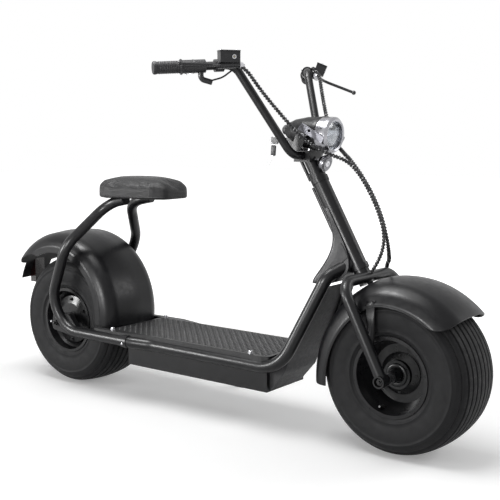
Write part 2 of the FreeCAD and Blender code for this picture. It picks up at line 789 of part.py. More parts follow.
HOSE_HALF = (HOSE_OD + SEAT_GAP * 2) / 2
HOSE_TOP = [
    V(826, 216, 1096), V(866, 194, 1084), V(900, 160, 1014), V(952, 110, 930),
    V(1000, 76, 868), V(1052, 46, 834), V(1106, HOSE_HALF, 812), V(1160, HOSE_HALF, 748),
    V(1204, HOSE_HALF, 668), V(1224, HOSE_HALF, 600),
]
HOSE_TO_CROWN = [V(1208, HOSE_HALF, 536), V(1180, HOSE_HALF, 497)]
HOSE_TO_CALIPER = [
    V(1216, 34, 546), V(1190, 82, 524), V(1162, 122, 508), V(1146, 142, 478),
    V(1162, 145, 443), V(1190, 145, 390), V(1212, 144, 348), V(1228, 137, 318),
    V(1242, 120, 298), V(1252, 101, 284),
]


def wiring_harness():
    """The covered wires that run down behind the stem to the mouth of the neck's conduit."""
    low = on_head(HEAD_LENGTH + 6, CONDUIT_SET)
    high = on_head(STEM_TOP, CONDUIT_SET)
    return trimmed(rod(low, high, CONDUIT_OD - 2), [clamp_block()])


def easy_bends(points):
    """For each inner point, the largest bend that its two runs leave room for."""
    bends = []
    for i in range(1, len(points) - 1):
        before = points[i] - points[i - 1]
        after = points[i + 1] - points[i]
        shorter = min(before.Length, after.Length)
        bends.append(0.45 * shorter / math.tan(before.getAngle(after) / 2))
    return bends


def hose(points, ends):
    """A hose between the fittings that it is pushed into."""
    return trimmed(bent_tube(points, easy_bends(points), HOSE_OD), ends)


# Side stand

STAND_PIVOT = V(500, 132, 156)
STAND_FOOT = V(520, 235, 0)
STAND_OD = 16.0
STAND_AXIS = V(0, STAND_PIVOT.z, STAND_FOOT.y - STAND_PIVOT.y).normalize()
BARREL_OD = 26.0
BARREL_HALF = 11.0
STAND_PIN_OD = 10.0


def on_pivot(distance):
    """A point on the stand's hinge axis."""
    return STAND_PIVOT + STAND_AXIS * distance


def stand_bracket(rails):
    """The web under the left rail with the stand's pin."""
    web = trimmed(box(V(486, 102, 150), V(514, 112, 196)), rails)
    lug = rod(on_pivot(-BARREL_HALF - 14), on_pivot(-BARREL_HALF - SEAT_GAP), 30)
    pin = rod(on_pivot(-BARREL_HALF - 2), on_pivot(BARREL_HALF + SEAT_GAP + 3), STAND_PIN_OD)
    head = rod(on_pivot(BARREL_HALF + SEAT_GAP), on_pivot(BARREL_HALF + SEAT_GAP + 3), 16)
    return web.multiFuse([lug, pin, head])


def side_stand():
    bore = STAND_PIN_OD + 2 * RUNNING_FIT
    hole = rod(on_pivot(-20), on_pivot(20), bore)
    barrel = rod(on_pivot(-BARREL_HALF), on_pivot(BARREL_HALF), BARREL_OD)
    leg = rod(STAND_PIVOT, STAND_FOOT + V(0, 0, 8), STAND_OD)
    foot = box(STAND_FOOT + V(-20, -16, 0), STAND_FOOT + V(20, 16, 6))
    return barrel.multiFuse([leg, foot]).cut(hole)


# Brakes

def caliper(axle, angle, mount_y, mount):
    """A caliper astride the disc, on the tab that joins it to the mount."""
    body = box(V(38, DISC_Y - 9, -20), V(84, DISC_Y + DISC_THICKNESS + 9, 20))
    slot = box(V(0, DISC_Y - 1.5, -30), V(DISC_R + 3, DISC_Y + DISC_THICKNESS + 1.5, 30))
    tab = box(V(60, DISC_Y + DISC_THICKNESS + 9, -12), V(80, mount_y, 12))
    whole = body.cut(slot).fuse(tab)
    whole.rotate(V(0, 0, 0), V(0, 1, 0), -angle)
    whole.translate(axle)
    return trimmed(whole, [mount])


def main():
    os.makedirs("parts", exist_ok=True)
    rail_right = rail()
    rail_left = mirrored(rail_right)
    rails = [rail_right, rail_left]
    loop_right = seat_loop(rail_right)
    loop_left = mirrored(loop_right)
    loops = [loop_right, loop_left]
    save("head_tube", head_tube())
    save("neck_shell", neck_shell(rails))
    cheek = neck_cheek(rails)
    save("neck_cheeks", cheek, mirrored(cheek))
    save("leg_shield", leg_shield(rails))
    save("cross_members", *[cross_member(x, rails) for x in CROSS_BARS],
         stand_bracket(rails))
    save("deck_plate", deck_plate(rails + loops))
    save("battery_box", battery_box())
    save("battery_pack", battery_pack())
    save("seat_pan", seat_pan())
    save("seat_pad", seat_pad())
    guard = rear_fender()
    save("rear_fender", guard)
    save("tail_lamp", tail_lamp(guard))
    save("rear_tyre", tyre(REAR_AXLE))
    save("front_tyre", tyre(FRONT_AXLE))
    save("rear_rim", rim(REAR_AXLE, REAR_WELL))
    save("front_rim", rim(FRONT_AXLE, FRONT_WELL))
    save("front_hub", front_hub())
    save("rear_hub_motor", rear_hub_motor())
    save("front_disc", brake_disc(FRONT_AXLE))
    save("rear_disc", brake_disc(REAR_AXLE))
    save("front_axle", axle_shaft(FRONT_AXLE, 150))
    save("rear_axle", axle_shaft(REAR_AXLE, 160))
    save("steering_stem", steering_stem())
    legs = fork()
    save("fork", legs)
    save("front_fender", front_fender(legs))
    grabber = caliper(FRONT_AXLE, 130.0, FORK_HALF, legs)
    save("front_caliper", grabber)
    save("rear_caliper", caliper(REAR_AXLE, 40.0, DROPOUT_Y, loop_left))
    save("wiring_harness", wiring_harness())
    save("handlebar", handlebar())
    save("bar_clamp", bar_clamp())
    save("grips", grip(-1), grip(1))
    save("throttle_housing", throttle_housing())
    lever_right = brake_control(-1)
    lever_left = brake_control(1)
    save("brake_control_right", lever_right)
    save("brake_control_left", lever_left)
    save("headlight_shell", headlight_shell())
    save("headlight_bezel", headlight_bezel())
    save("headlight_lens", headlight_lens())
    save("headlight_bracket", headlight_bracket())
    save("horn", horn())
    save("ignition_lock", ignition_lock())
    save("brake_hoses", hose(flip(HOSE_TOP + HOSE_TO_CROWN), [lever_right, legs]),
         hose(HOSE_TOP + HOSE_TO_CALIPER, [lever_left, grabber]))
    save("side_stand", side_stand())
    save("rail_right", rail_right)
    save("rail_left", rail_left)
    save("seat_loop_right", loop_right)
    save("seat_loop_left", loop_left)


main()
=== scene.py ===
import json
import math

import bmesh
import bpy
from mathutils import Matrix, Vector
from mathutils.bvhtree import BVHTree


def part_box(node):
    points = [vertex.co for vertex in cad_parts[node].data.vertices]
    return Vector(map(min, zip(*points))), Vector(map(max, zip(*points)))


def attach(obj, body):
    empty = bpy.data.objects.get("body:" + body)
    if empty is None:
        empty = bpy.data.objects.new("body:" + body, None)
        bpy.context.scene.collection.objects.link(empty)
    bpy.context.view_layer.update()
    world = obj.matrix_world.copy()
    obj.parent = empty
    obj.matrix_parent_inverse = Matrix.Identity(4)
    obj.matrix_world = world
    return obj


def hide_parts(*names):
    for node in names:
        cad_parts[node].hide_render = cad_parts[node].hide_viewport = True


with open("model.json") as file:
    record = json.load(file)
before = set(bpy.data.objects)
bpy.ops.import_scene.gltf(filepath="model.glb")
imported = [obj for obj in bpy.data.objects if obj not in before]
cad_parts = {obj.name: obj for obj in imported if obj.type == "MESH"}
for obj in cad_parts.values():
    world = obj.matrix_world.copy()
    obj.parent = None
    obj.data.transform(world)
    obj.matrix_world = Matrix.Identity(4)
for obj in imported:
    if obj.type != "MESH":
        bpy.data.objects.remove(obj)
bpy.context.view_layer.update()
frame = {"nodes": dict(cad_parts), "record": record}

bl_info = {
    "name": "Electric chopper scooter",
    "version": (1, 0, 0),
    "blender": (4, 5, 0),
    "location": "3D View > Sidebar > Scooter",
    "description": "Finishes, tyres, seat, lamp and small parts of a fat-tyre electric scooter",
    "category": "Object",
}

# Stations along the vehicle are millimetres from the rear axle, as in the part's source.
MIDDLE_X = 613.5
WHEELBASE = 1300.0
AXLE_Z = 228.5
AXLES = {"rear": (0.0, 0.0, AXLE_Z), "front": (WHEELBASE, 0.0, AXLE_Z)}
SIDES = (-1, 1)
SIDE_NAMES = {-1: "right", 1: "left"}
MIRROR = Matrix.Scale(-1, 4, (0, 1, 0))
BLACK_STEEL = (0.012, 0.012, 0.013)
TYRE_FINISH = {"rear": "tyre_rubber", "front": "front_tyre_rubber"}


def at(x, y, z):
    """A point given in millimetres from the rear axle, in the scene's metres."""
    return Vector(((x - MIDDLE_X) / 1000, y / 1000, z / 1000))


def axis_frame(origin, axis, scale=0.001):
    """Millimetres along, and round, an axis to the scene's metres. The axis is the local Z."""
    turn = Vector((0, 0, 1)).rotation_difference(Vector(axis)).to_matrix().to_4x4()
    return Matrix.Translation(origin) @ turn @ Matrix.Scale(scale, 4)


# Finishes

def node(tree, kind, inputs=None, **settings):
    """Adds one shader or geometry node. An input given as a socket is linked to it."""
    made = tree.nodes.new(kind)
    for key, value in settings.items():
        setattr(made, key, value)
    for key, value in (inputs or {}).items():
        if isinstance(value, bpy.types.NodeSocket):
            tree.links.new(value, made.inputs[key])
        else:
            made.inputs[key].default_value = value
    return made


def finish(name, colour, roughness, **sockets):
    """A new material with its constants on the shader's own sockets."""
    material = bpy.data.materials.new(name)
    material.use_nodes = True
    shader = material.node_tree.nodes["Principled BSDF"]
    shader.inputs["Base Color"].default_value = (*colour, 1)
    shader.inputs["Roughness"].default_value = roughness
    for key, value in sockets.items():
        shader.inputs[key.replace("_", " ")].default_value = value
    return material, material.node_tree, shader


def place(tree, centre=(0, 0, 0), scale=(1, 1, 1)):
    """The object's own coordinates, measured from a centre."""
    coordinates = node(tree, "ShaderNodeTexCoord").outputs["Object"]
    shift = [-c * s for c, s in zip(centre, scale)]
    return node(tree, "ShaderNodeMapping",
                {"Vector": coordinates, "Location": shift, "Scale": scale}).outputs[0]


def noise(tree, where, scale, detail=3.0, roughness=0.55):
    """A cloudy pattern over the places given."""
    return node(tree, "ShaderNodeTexNoise", {"Vector": where, "Scale": scale, "Detail": detail,
                                             "Roughness": roughness}).outputs[0]


def spread(tree, value, low, high, start=0.3, end=0.7):
    """Maps a pattern to the range that a socket takes."""
    return node(tree, "ShaderNodeMapRange",
                {"Value": value, "From Min": start, "From Max": end, "To Min": low,
                 "To Max": high}).outputs[0]


def maths_in(tree):
    """A function that adds one maths node to the tree and gives its result."""
    def maths(operation, *values, clamp=False):
        return node(tree, "ShaderNodeMath", dict(enumerate(values)), operation=operation,
                    use_clamp=clamp).outputs[0]
    return maths


def seen_directly(tree):
    """1 for the rays that show a surface itself, mirrored or through glass, and 0 for the rest."""
    path = node(tree, "ShaderNodeLightPath").outputs
    maths = maths_in(tree)
    mirrored = maths("ADD", path["Is Camera Ray"], path["Is Glossy Ray"])
    return maths("ADD", mirrored, path["Is Transmission Ray"], clamp=True)


def two_tone(tree, shader, value, dark, light, start=0.35, end=0.65):
    """Colours the surface between two tones by a pattern."""
    ramp = node(tree, "ShaderNodeValToRGB", {"Fac": value})
    ramp.color_ramp.elements[0].position = start
    ramp.color_ramp.elements[0].color = (*dark, 1)
    ramp.color_ramp.elements[1].position = end
    ramp.color_ramp.elements[1].color = (*light, 1)
    tree.links.new(ramp.outputs["Color"], shader.inputs["Base Color"])


def uneven(tree, shader, value, low, high, start=0.3, end=0.7):
    """Makes the surface smoother and rougher by a pattern."""
    tree.links.new(spread(tree, value, low, high, start, end), shader.inputs["Roughness"])


def relief(tree, shader, height, strength, depth, below=None):
    """Raises the surface by a pattern, on top of an earlier relief."""
    inputs = {"Height": height, "Strength": strength, "Distance": depth}
    if below:
        inputs["Normal"] = below
    normal = node(tree, "ShaderNodeBump", inputs).outputs[0]
    tree.links.new(normal, shader.inputs["Normal"])
    return normal


def worn(colour, amount):
    """A colour lightened a little, as dust and wear leave it."""
    return tuple(min(1.0, c + amount) for c in colour)


def powder_coat(name, colour, roughness, coat, peel=0.12, shine=0.22):
    """Sprayed black paint: a fine orange peel, faint clouds and an uneven gloss."""
    material, tree, shader = finish(name, colour, roughness, Coat_Weight=coat,
                                    Coat_Roughness=max(0.08, roughness - 0.12),
                                    Specular_IOR_Level=shine)
    where = place(tree)
    two_tone(tree, shader, noise(tree, where, 14.0, 4.0), colour, worn(colour, 0.003))
    uneven(tree, shader, noise(tree, where, 60.0, 5.0), roughness - 0.05, roughness + 0.07)
    relief(tree, shader, noise(tree, where, 900.0, 2.0), peel, 0.0004)
    return material


def moulded(name, colour, roughness, grain, depth):
    """Moulded plastic or rubber with a leathery or fine grain."""
    material, tree, shader = finish(name, colour, roughness, Specular_IOR_Level=0.30)
    where = place(tree)
    two_tone(tree, shader, noise(tree, where, 25.0, 4.0), colour, worn(colour, 0.005))
    uneven(tree, shader, noise(tree, where, 110.0), roughness - 0.06, roughness + 0.08)
    cells = node(tree, "ShaderNodeTexVoronoi", {"Vector": where, "Scale": grain},
                 feature="SMOOTH_F1").outputs["Distance"]
    first = relief(tree, shader, cells, 0.45, depth)
    relief(tree, shader, noise(tree, where, grain * 3.0), 0.15, depth * 0.4, first)
    return material


def bare_metal(name, colour, roughness, strength=0.12):
    """Plated or polished metal with fine scratches and a little tarnish."""
    material, tree, shader = finish(name, colour, roughness, Metallic=1.0)
    where = place(tree)
    lines = noise(tree, where, 260.0, 4.0, 0.7)
    two_tone(tree, shader, noise(tree, where, 30.0, 5.0), tuple(c * 0.82 for c in colour), colour)
    uneven(tree, shader, lines, max(0.03, roughness - 0.07), roughness + 0.10)
    relief(tree, shader, lines, strength, 0.0003)
    return material


# The edge where the strap's brushed steel gives way to the web under it, which is coloured black as
# painted shade, and the way up across that edge.
STRAP_EDGE = (960.0, 0.0, 905.0)
STRAP_UP = (0.473, 0.0, 0.881)


def strap_steel_painted_shade(name, colour):
    """Brushed steel along the lamp's slanted strap, with the web under it coloured black as painted
    shade.
    """
    material, tree, shader = finish(name, BLACK_STEEL, 0.34)
    maths = maths_in(tree)
    parts = node(tree, "ShaderNodeSeparateXYZ", {"Vector": place(tree)}).outputs
    edge = at(*STRAP_EDGE)
    ahead, above = [maths("MULTIPLY_ADD", parts[i], STRAP_UP[i], -STRAP_UP[i] * edge[i])
                    for i in (0, 2)]
    # The mask is 1 on the strap's steel and 0 on the web below the edge, which takes the black
    # colour of painted shade and no metal.
    bare = spread(tree, maths("ADD", ahead, above), 0.0, 1.0, -0.0012, -0.0006)
    two_tone(tree, shader, bare, BLACK_STEEL, colour, 0.4, 0.6)
    tree.links.new(bare, shader.inputs["Metallic"])
    lines = noise(tree, place(tree, scale=(1, 6, 1)), 260.0, 4.0, 0.7)
    uneven(tree, shader, lines, 0.25, 0.42)
    relief(tree, shader, lines, 0.12, 0.0003)
    return material


TREAD_CUTS = 110.0
CUT_SLANT = 2.2
CUT_PITCH = 0.011
CUTS_FROM = 0.2175
CUTS_FULL = 0.2195


def tyre_rubber(name, colour, axle):
    """Tyre rubber, clouded and grained, with fine cuts across the ribs of the tread."""
    material, tree, shader = finish(name, colour, 0.62, Specular_IOR_Level=0.12,
                                    Sheen_Weight=0.02, Sheen_Roughness=0.5)
    where = place(tree, at(*axle))
    parts = node(tree, "ShaderNodeSeparateXYZ", {"Vector": where}).outputs
    maths = maths_in(tree)
    radius = maths("SQRT", maths("ADD", maths("MULTIPLY", parts[0], parts[0]),
                                 maths("MULTIPLY", parts[2], parts[2])))
    turn = maths("ARCTAN2", parts[2], parts[0])
    across = maths("PINGPONG", maths("ABSOLUTE", parts[1]), CUT_PITCH)
    slant = maths("MULTIPLY", across, CUT_SLANT)
    wave = maths("SINE", maths("MULTIPLY", maths("ADD", turn, slant), TREAD_CUTS))
    cut = node(tree, "ShaderNodeMapRange", {"Value": wave, "From Min": 0.80, "From Max": 0.97},
               interpolation_type="SMOOTHSTEP").outputs[0]
    outside = spread(tree, radius, 0.0, 1.0, CUTS_FROM, CUTS_FULL)
    height = maths("MULTIPLY", maths("MULTIPLY", cut, outside), -1.0)
    first = relief(tree, shader, height, 0.55, 0.0012)
    relief(tree, shader, noise(tree, where, 420.0, 4.0, 0.65), 0.18, 0.0006, first)
    two_tone(tree, shader, noise(tree, where, 9.0, 6.0, 0.6), colour, worn(colour, 0.006), 0.3,
             0.75)
    uneven(tree, shader, noise(tree, where, 45.0), 0.52, 0.72)
    return material


def leather(name, colour):
    """Grained black upholstery with soft waves and a slight sheen."""
    material, tree, shader = finish(name, colour, 0.46, Specular_IOR_Level=0.22,
                                    Sheen_Weight=0.03, Sheen_Roughness=0.4)
    where = place(tree)
    bent = node(tree, "ShaderNodeMix",
                {"Factor": 0.02, 6: where,
                 7: node(tree, "ShaderNodeTexNoise", {"Vector": where, "Scale": 60.0}).outputs[1]},
                data_type="RGBA").outputs[2]
    cells = node(tree, "ShaderNodeTexVoronoi", {"Vector": bent, "Scale": 420.0},
                 feature="DISTANCE_TO_EDGE").outputs["Distance"]
    pebble = spread(tree, cells, 0.0, 1.0, 0.0, 0.28)
    first = relief(tree, shader, pebble, 0.40, 0.0006)
    relief(tree, shader, noise(tree, where, 28.0, 5.0), 0.10, 0.0010, first)
    two_tone(tree, shader, noise(tree, where, 18.0, 5.0), colour, worn(colour, 0.003))
    uneven(tree, shader, pebble, 0.50, 0.36, 0.0, 1.0)
    return material


def clear_glass(name):
    """Clear pressed glass with a faint ripple."""
    material, tree, shader = finish(name, (0.96, 0.98, 1.0), 0.04, Transmission_Weight=1.0,
                                    IOR=1.45)
    relief(tree, shader, noise(tree, place(tree), 240.0, 1.0), 0.02, 0.0003)
    return material


def red_lens(name):
    """Dark red plastic with upright ribs."""
    material, tree, shader = finish(name, (0.03, 0.003, 0.003), 0.2, Coat_Weight=0.2)
    ribs = node(tree, "ShaderNodeTexWave", {"Vector": place(tree), "Scale": 90.0},
                bands_direction="Y").outputs[1]
    two_tone(tree, shader, ribs, (0.004, 0.001, 0.001), (0.012, 0.002, 0.002), 0.2, 0.8)
    relief(tree, shader, ribs, 0.4, 0.0008)
    return material


# The paper's glow near the scooter and far off, and the distances where these hold.
FLOOR_GLOW = (0.24, 1.0, 1.0, 2.6)


def floor_paper(name, colour):
    """White paper that shows itself only as white with the scooter's shadow on it."""
    material, tree, shader = finish(name, colour, 0.9, Specular_IOR_Level=0.1)
    where = place(tree)
    two_tone(tree, shader, noise(tree, where, 1.4, 3.0), colour, worn(colour, 0.01))
    away = node(tree, "ShaderNodeVectorMath", {0: where}, operation="LENGTH").outputs["Value"]
    strength = spread(tree, away, *FLOOR_GLOW)
    glow = node(tree, "ShaderNodeEmission", {"Color": (1, 1, 1, 1), "Strength": strength})
    clear = node(tree, "ShaderNodeEmission", {"Strength": 0.0})
    lit = node(tree, "ShaderNodeMixShader",
               {0: seen_directly(tree), 1: clear.outputs[0], 2: glow.outputs[0]})
    both = node(tree, "ShaderNodeAddShader", {0: shader.outputs[0], 1: lit.outputs[0]})
    tree.links.new(both.outputs[0], tree.nodes["Material Output"].inputs["Surface"])
    return material


FINISHES = {}


def finishes():
    """Every finish of the scooter by the record's slot, made once."""
    if FINISHES:
        return FINISHES
    paint = bpy.context.scene.scooter_paint
    rubber = bpy.context.scene.scooter_rubber
    FINISHES.update({
        "frame_paint": powder_coat("satin_frame_paint", tuple(paint.frame), paint.frame_gloss,
                                   0.06),
        "fender_paint": powder_coat("gloss_fender_paint", tuple(paint.fender),
                                    paint.fender_gloss, 0.02, 0.05, 0.18),
        "wheel_paint": powder_coat("gloss_wheel_paint", tuple(paint.wheel), 0.30, 0.08),
        "neck_plastic": moulded("smooth_neck_cover", (0.016, 0.016, 0.018), 0.36, 1500.0, 0.0001),
        "grained_plastic": moulded("grained_panel", (0.016, 0.016, 0.018), 0.55, 520.0, 0.0007),
        "deck_rubber": moulded("deck_mat", tuple(rubber.deck), 0.42, 700.0, 0.0003),
        "tyre_rubber": tyre_rubber("rear_tyre_rubber", tuple(rubber.tyre), AXLES["rear"]),
        "front_tyre_rubber": tyre_rubber("front_tyre_rubber", tuple(rubber.tyre), AXLES["front"]),
        "seat_leather": leather("seat_leather", tuple(rubber.seat)),
        "pan_plastic": moulded("seat_pan_plastic", (0.02, 0.02, 0.021), 0.5, 600.0, 0.0003),
        "grip_rubber": moulded("grip_rubber", (0.017, 0.017, 0.019), 0.5, 800.0, 0.0003),
        "control_alloy": powder_coat("anodised_controls", (0.018, 0.018, 0.020), 0.33, 0.2),
        # The strap's finish colours the web below the strap black as painted shade.
        "bracket_steel": strap_steel_painted_shade("brushed_strap", (0.10, 0.10, 0.11)),
        "bright_trim": bare_metal("polished_bezel", (0.34, 0.34, 0.36), 0.18, strength=0.02),
        "horn_metal": bare_metal("horn_plating", (0.16, 0.16, 0.17), 0.26, strength=0.05),
        "lamp_glass": clear_glass("lamp_glass"),
        "lamp_red": red_lens("tail_lens"),
        "bare_steel": bare_metal("zinc_plated_steel", (0.52, 0.52, 0.54), 0.28),
        "hose_rubber": moulded("hose_rubber", (0.012, 0.012, 0.013), 0.42, 900.0, 0.0002),
        "hose_wrap": powder_coat("spiral_wrap_plastic", (0.030, 0.030, 0.033), 0.24, 0.3),
        "battery_case": moulded("battery_sleeve", (0.07, 0.07, 0.075), 0.5, 500.0, 0.0003),
        "black_steel": powder_coat("blackened_steel", BLACK_STEEL, 0.34, 0.1),
        "reflector": bare_metal("lamp_reflector", (0.34, 0.35, 0.37), 0.20, strength=0.03),
        "key_plastic": moulded("key_head_plastic", (0.015, 0.015, 0.016), 0.38, 900.0, 0.0003),
        "window": moulded("sight_window", (0.30, 0.27, 0.20), 0.15, 300.0, 0.0001),
    })
    return FINISHES


# Meshes

def placed(name, data):
    """A new object in the scene."""
    piece = bpy.data.objects.new(name, data)
    bpy.context.scene.collection.objects.link(piece)
    return piece


def real_mesh(piece):
    """The plain mesh that an object shows after its modifiers."""
    view = bpy.context.evaluated_depsgraph_get()
    return bpy.data.meshes.new_from_object(piece.evaluated_get(view), depsgraph=view)


def merged_copy(mesh, distance):
    """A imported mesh's own copy with its doubled points merged."""
    copy = mesh.copy()
    copy.materials.clear()
    bm = bmesh.new()
    bm.from_mesh(copy)
    bmesh.ops.remove_doubles(bm, verts=bm.verts, dist=distance)
    bm.to_mesh(copy)
    bm.free()
    return copy


def shown(name, mesh, body, slot, finish_name=None, crease=35.0):
    """A finished piece on its body, with the finish named, else the finish of the record's slot."""
    piece = placed(name, mesh)
    mesh.materials.clear()
    mesh.materials.append(finishes()[finish_name or slot])
    mesh.polygons.foreach_set("use_smooth", [True] * len(mesh.polygons))
    mesh.set_sharp_from_angle(angle=math.radians(crease))
    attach(piece, body)
    return piece


def closed(bm, name):
    """A mesh from bmesh data with its doubles merged and its faces turned outward."""
    bmesh.ops.remove_doubles(bm, verts=bm.verts, dist=1e-6)
    bmesh.ops.recalc_face_normals(bm, faces=bm.faces)
    mesh = bpy.data.meshes.new(name)
    bm.to_mesh(mesh)
    bm.free()
    return mesh


def turned(profile, place_at, steps, bm=None):
    """Turns a closed profile of (along, radius) points round a frame's Z axis."""
    bm = bm or bmesh.new()
    rows = []
    for step in range(steps):
        angle = 2 * math.pi * step / steps
        rows.append([bm.verts.new(place_at @ Vector((r * math.cos(angle), r * math.sin(angle), a)))
                     for a, r in profile])
    for here, there in zip(rows, rows[1:] + rows[:1]):
        for i, (_, radius) in enumerate(profile):
            if radius or profile[i - 1][1]:
                bm.faces.new((here[i - 1], here[i], there[i], there[i - 1]))
    return bm


def tidy_faces(bm):
    """Merges what meets on an axis and drops the faces that it leaves without area."""
    bmesh.ops.remove_doubles(bm, verts=bm.verts, dist=1e-7)
    bmesh.ops.dissolve_degenerate(bm, edges=bm.edges, dist=1e-7)
    return bm


def spun_mesh(name, profile, place_at, steps):
    """The mesh of a turned profile, which may touch its axis."""
    bm = turned(profile, place_at, steps)
    if any(radius == 0 for _, radius in profile):
        tidy_faces(bm)
    return closed(bm, name)


def spun(name, profile, place_at, steps, body, slot, finish_name=None):
    """A turned piece on its body."""
    return shown(name, spun_mesh(name, profile, place_at, steps), body, slot, finish_name)


def block(place_at, low, high, chamfer, bm=None):
    """A block with rounded edges between two corners."""
    bm = bm or bmesh.new()
    made = bmesh.ops.create_cube(bm, size=1.0)["verts"]
    size = Vector(high) - Vector(low)
    middle = (Vector(high) + Vector(low)) / 2
    for vert in made:
        vert.co = Vector(vert.co[i] * size[i] + middle[i] for i in range(3))
    edges = list({edge for vert in made for edge in vert.link_edges})
    rounded = bmesh.ops.bevel(bm, geom=edges, offset=chamfer, segments=3, affect="EDGES",
                              profile=0.5)
    verts = set(rounded["verts"])
    for face in rounded["faces"]:
        verts.update(face.verts)
    stack = list(verts)
    while stack:
        for edge in stack.pop().link_edges:
            for vert in edge.verts:
                if vert not in verts:
                    verts.add(vert)
                    stack.append(vert)
    bmesh.ops.transform(bm, matrix=place_at, verts=list(verts))
    return bm


def curve_mesh(curve, points, cyclic=False, kind="NURBS"):
    """The mesh that a curve gives along a route's control points."""
    curve.dimensions = "3D"
    spline = curve.splines.new(kind)
    spline.points.add(len(points) - 1)
    for target, point in zip(spline.points, points):
        target.co = (*point, 1)
    if kind == "NURBS":
        spline.order_u = 3
        spline.use_endpoint_u = not cyclic
    spline.use_cyclic_u = cyclic
    holder = placed(curve.name, curve)
    bpy.context.view_layer.update()
    mesh = bpy.data.meshes.new_from_object(holder)
    bpy.data.objects.remove(holder)
    return mesh


def line_mesh(points):
    """The points of the smooth line that a route's control points give."""
    curve = bpy.data.curves.new("route", "CURVE")
    curve.resolution_u = 10
    return curve_mesh(curve, points)


def tube(name, points, radius, cyclic=False, sides=3, kind="NURBS"):
    """A round tube along a route, its ends closed."""
    curve = bpy.data.curves.new(name, "CURVE")
    curve.resolution_u = 8
    curve.bevel_depth = radius
    curve.bevel_resolution = sides
    curve.use_fill_caps = True
    return curve_mesh(curve, points, cyclic, kind)


# Geometry Nodes

def new_tree(name, **inputs):
    """An empty tree with its named inputs and a finish, and its input and output nodes."""
    tree = bpy.data.node_groups.new(name, "GeometryNodeTree")
    sockets = {"Geometry": "NodeSocketGeometry", **inputs, "Finish": "NodeSocketMaterial"}
    for label, kind in sockets.items():
        tree.interface.new_socket(label, in_out="INPUT", socket_type=kind)
    tree.interface.new_socket("Geometry", in_out="OUTPUT", socket_type="NodeSocketGeometry")
    return tree, tree.nodes.new("NodeGroupInput").outputs, tree.nodes.new("NodeGroupOutput")


def close_tree(tree, last, given, out):
    """Ends a tree in its last node's geometry, made real and given its finish."""
    real = node(tree, "GeometryNodeRealizeInstances", {"Geometry": last.outputs[0]}).outputs[0]
    done = node(tree, "GeometryNodeSetMaterial", {"Geometry": real, "Material": given["Finish"]})
    tree.links.new(done.outputs[0], out.inputs[0])
    return tree


def grow(tree, base_mesh, **values):
    """Runs a tree on a mesh and returns the result as a plain mesh."""
    holder = placed("grow", base_mesh)
    modifier = holder.modifiers.new("grow", "NODES")
    modifier.node_group = tree
    labels = {item.name: item.identifier for item in tree.interface.items_tree
              if item.item_type == "SOCKET" and item.in_out == "INPUT"}
    for label, value in values.items():
        modifier[labels[label]] = value
    mesh = real_mesh(holder)
    bpy.data.objects.remove(holder)
    return mesh


FLOAT = "NodeSocketFloat"
INT = "NodeSocketInt"


def fixings_tree():
    """Puts a head on each point, turned to its facing and scaled to its size."""
    tree, given, out = new_tree("fixings", Head="NodeSocketObject")
    head = node(tree, "GeometryNodeObjectInfo", {"Object": given["Head"]}).outputs["Geometry"]
    facing = node(tree, "GeometryNodeInputNamedAttribute", {"Name": "facing"},
                  data_type="FLOAT_VECTOR").outputs["Attribute"]
    size = node(tree, "GeometryNodeInputNamedAttribute", {"Name": "size"},
                data_type="FLOAT").outputs["Attribute"]
    turn = node(tree, "FunctionNodeAlignRotationToVector", {"Vector": facing}, axis="Z")
    heads = node(tree, "GeometryNodeInstanceOnPoints",
                 {"Points": given["Geometry"], "Instance": head, "Rotation": turn.outputs[0],
                  "Scale": size})
    return close_tree(tree, heads, given, out)


def rings_tree():
    """A row of rings along the base point's Z, as the ribs round a grip."""
    tree, given, out = new_tree("rings", Count=INT, Pitch=FLOAT, Radius=FLOAT, Thickness=FLOAT)
    step = node(tree, "ShaderNodeCombineXYZ", {"Z": given["Pitch"]}).outputs[0]
    row = node(tree, "GeometryNodeMeshLine", {"Count": given["Count"], "Offset": step}).outputs[0]
    path = node(tree, "GeometryNodeCurvePrimitiveCircle",
                {"Resolution": 40, "Radius": given["Radius"]}).outputs[0]
    section = node(tree, "GeometryNodeCurvePrimitiveCircle",
                   {"Resolution": 6, "Radius": given["Thickness"]}).outputs[0]
    ring = node(tree, "GeometryNodeCurveToMesh", {"Curve": path, "Profile Curve": section})
    rings = node(tree, "GeometryNodeInstanceOnPoints", {"Points": row, "Instance": ring.outputs[0]})
    return close_tree(tree, rings, given, out)


def wrap_tree():
    """A spiral wound round a line of points."""
    tree, given, out = new_tree("spiral_wrap", Pitch=FLOAT, Radius=FLOAT, Band=FLOAT)
    maths = maths_in(tree)

    def vectors(operation, inputs):
        return node(tree, "ShaderNodeVectorMath", inputs, operation=operation).outputs[0]

    line = node(tree, "GeometryNodeMeshToCurve", {"Mesh": given["Geometry"]}).outputs[0]
    even = node(tree, "GeometryNodeResampleCurve",
                {"Curve": line, "Length": maths("DIVIDE", given["Pitch"], 12.0)}, mode="LENGTH")
    along = node(tree, "GeometryNodeSplineParameter").outputs["Length"]
    angle = maths("MULTIPLY", maths("DIVIDE", along, given["Pitch"]), 2 * math.pi)
    tangent = node(tree, "GeometryNodeInputTangent").outputs[0]
    normal = node(tree, "GeometryNodeInputNormal").outputs[0]
    side = vectors("CROSS_PRODUCT", {0: tangent, 1: normal})
    out_a = vectors("SCALE", {0: normal, "Scale": maths("COSINE", angle)})
    out_b = vectors("SCALE", {0: side, "Scale": maths("SINE", angle)})
    way = vectors("SCALE", {0: vectors("ADD", {0: out_a, 1: out_b}), "Scale": given["Radius"]})
    coil = node(tree, "GeometryNodeSetPosition", {"Geometry": even.outputs[0], "Offset": way})
    section = node(tree, "GeometryNodeCurvePrimitiveCircle",
                   {"Resolution": 6, "Radius": given["Band"]}).outputs[0]
    band = node(tree, "GeometryNodeCurveToMesh",
                {"Curve": coil.outputs[0], "Profile Curve": section, "Fill Caps": True})
    return close_tree(tree, band, given, out)


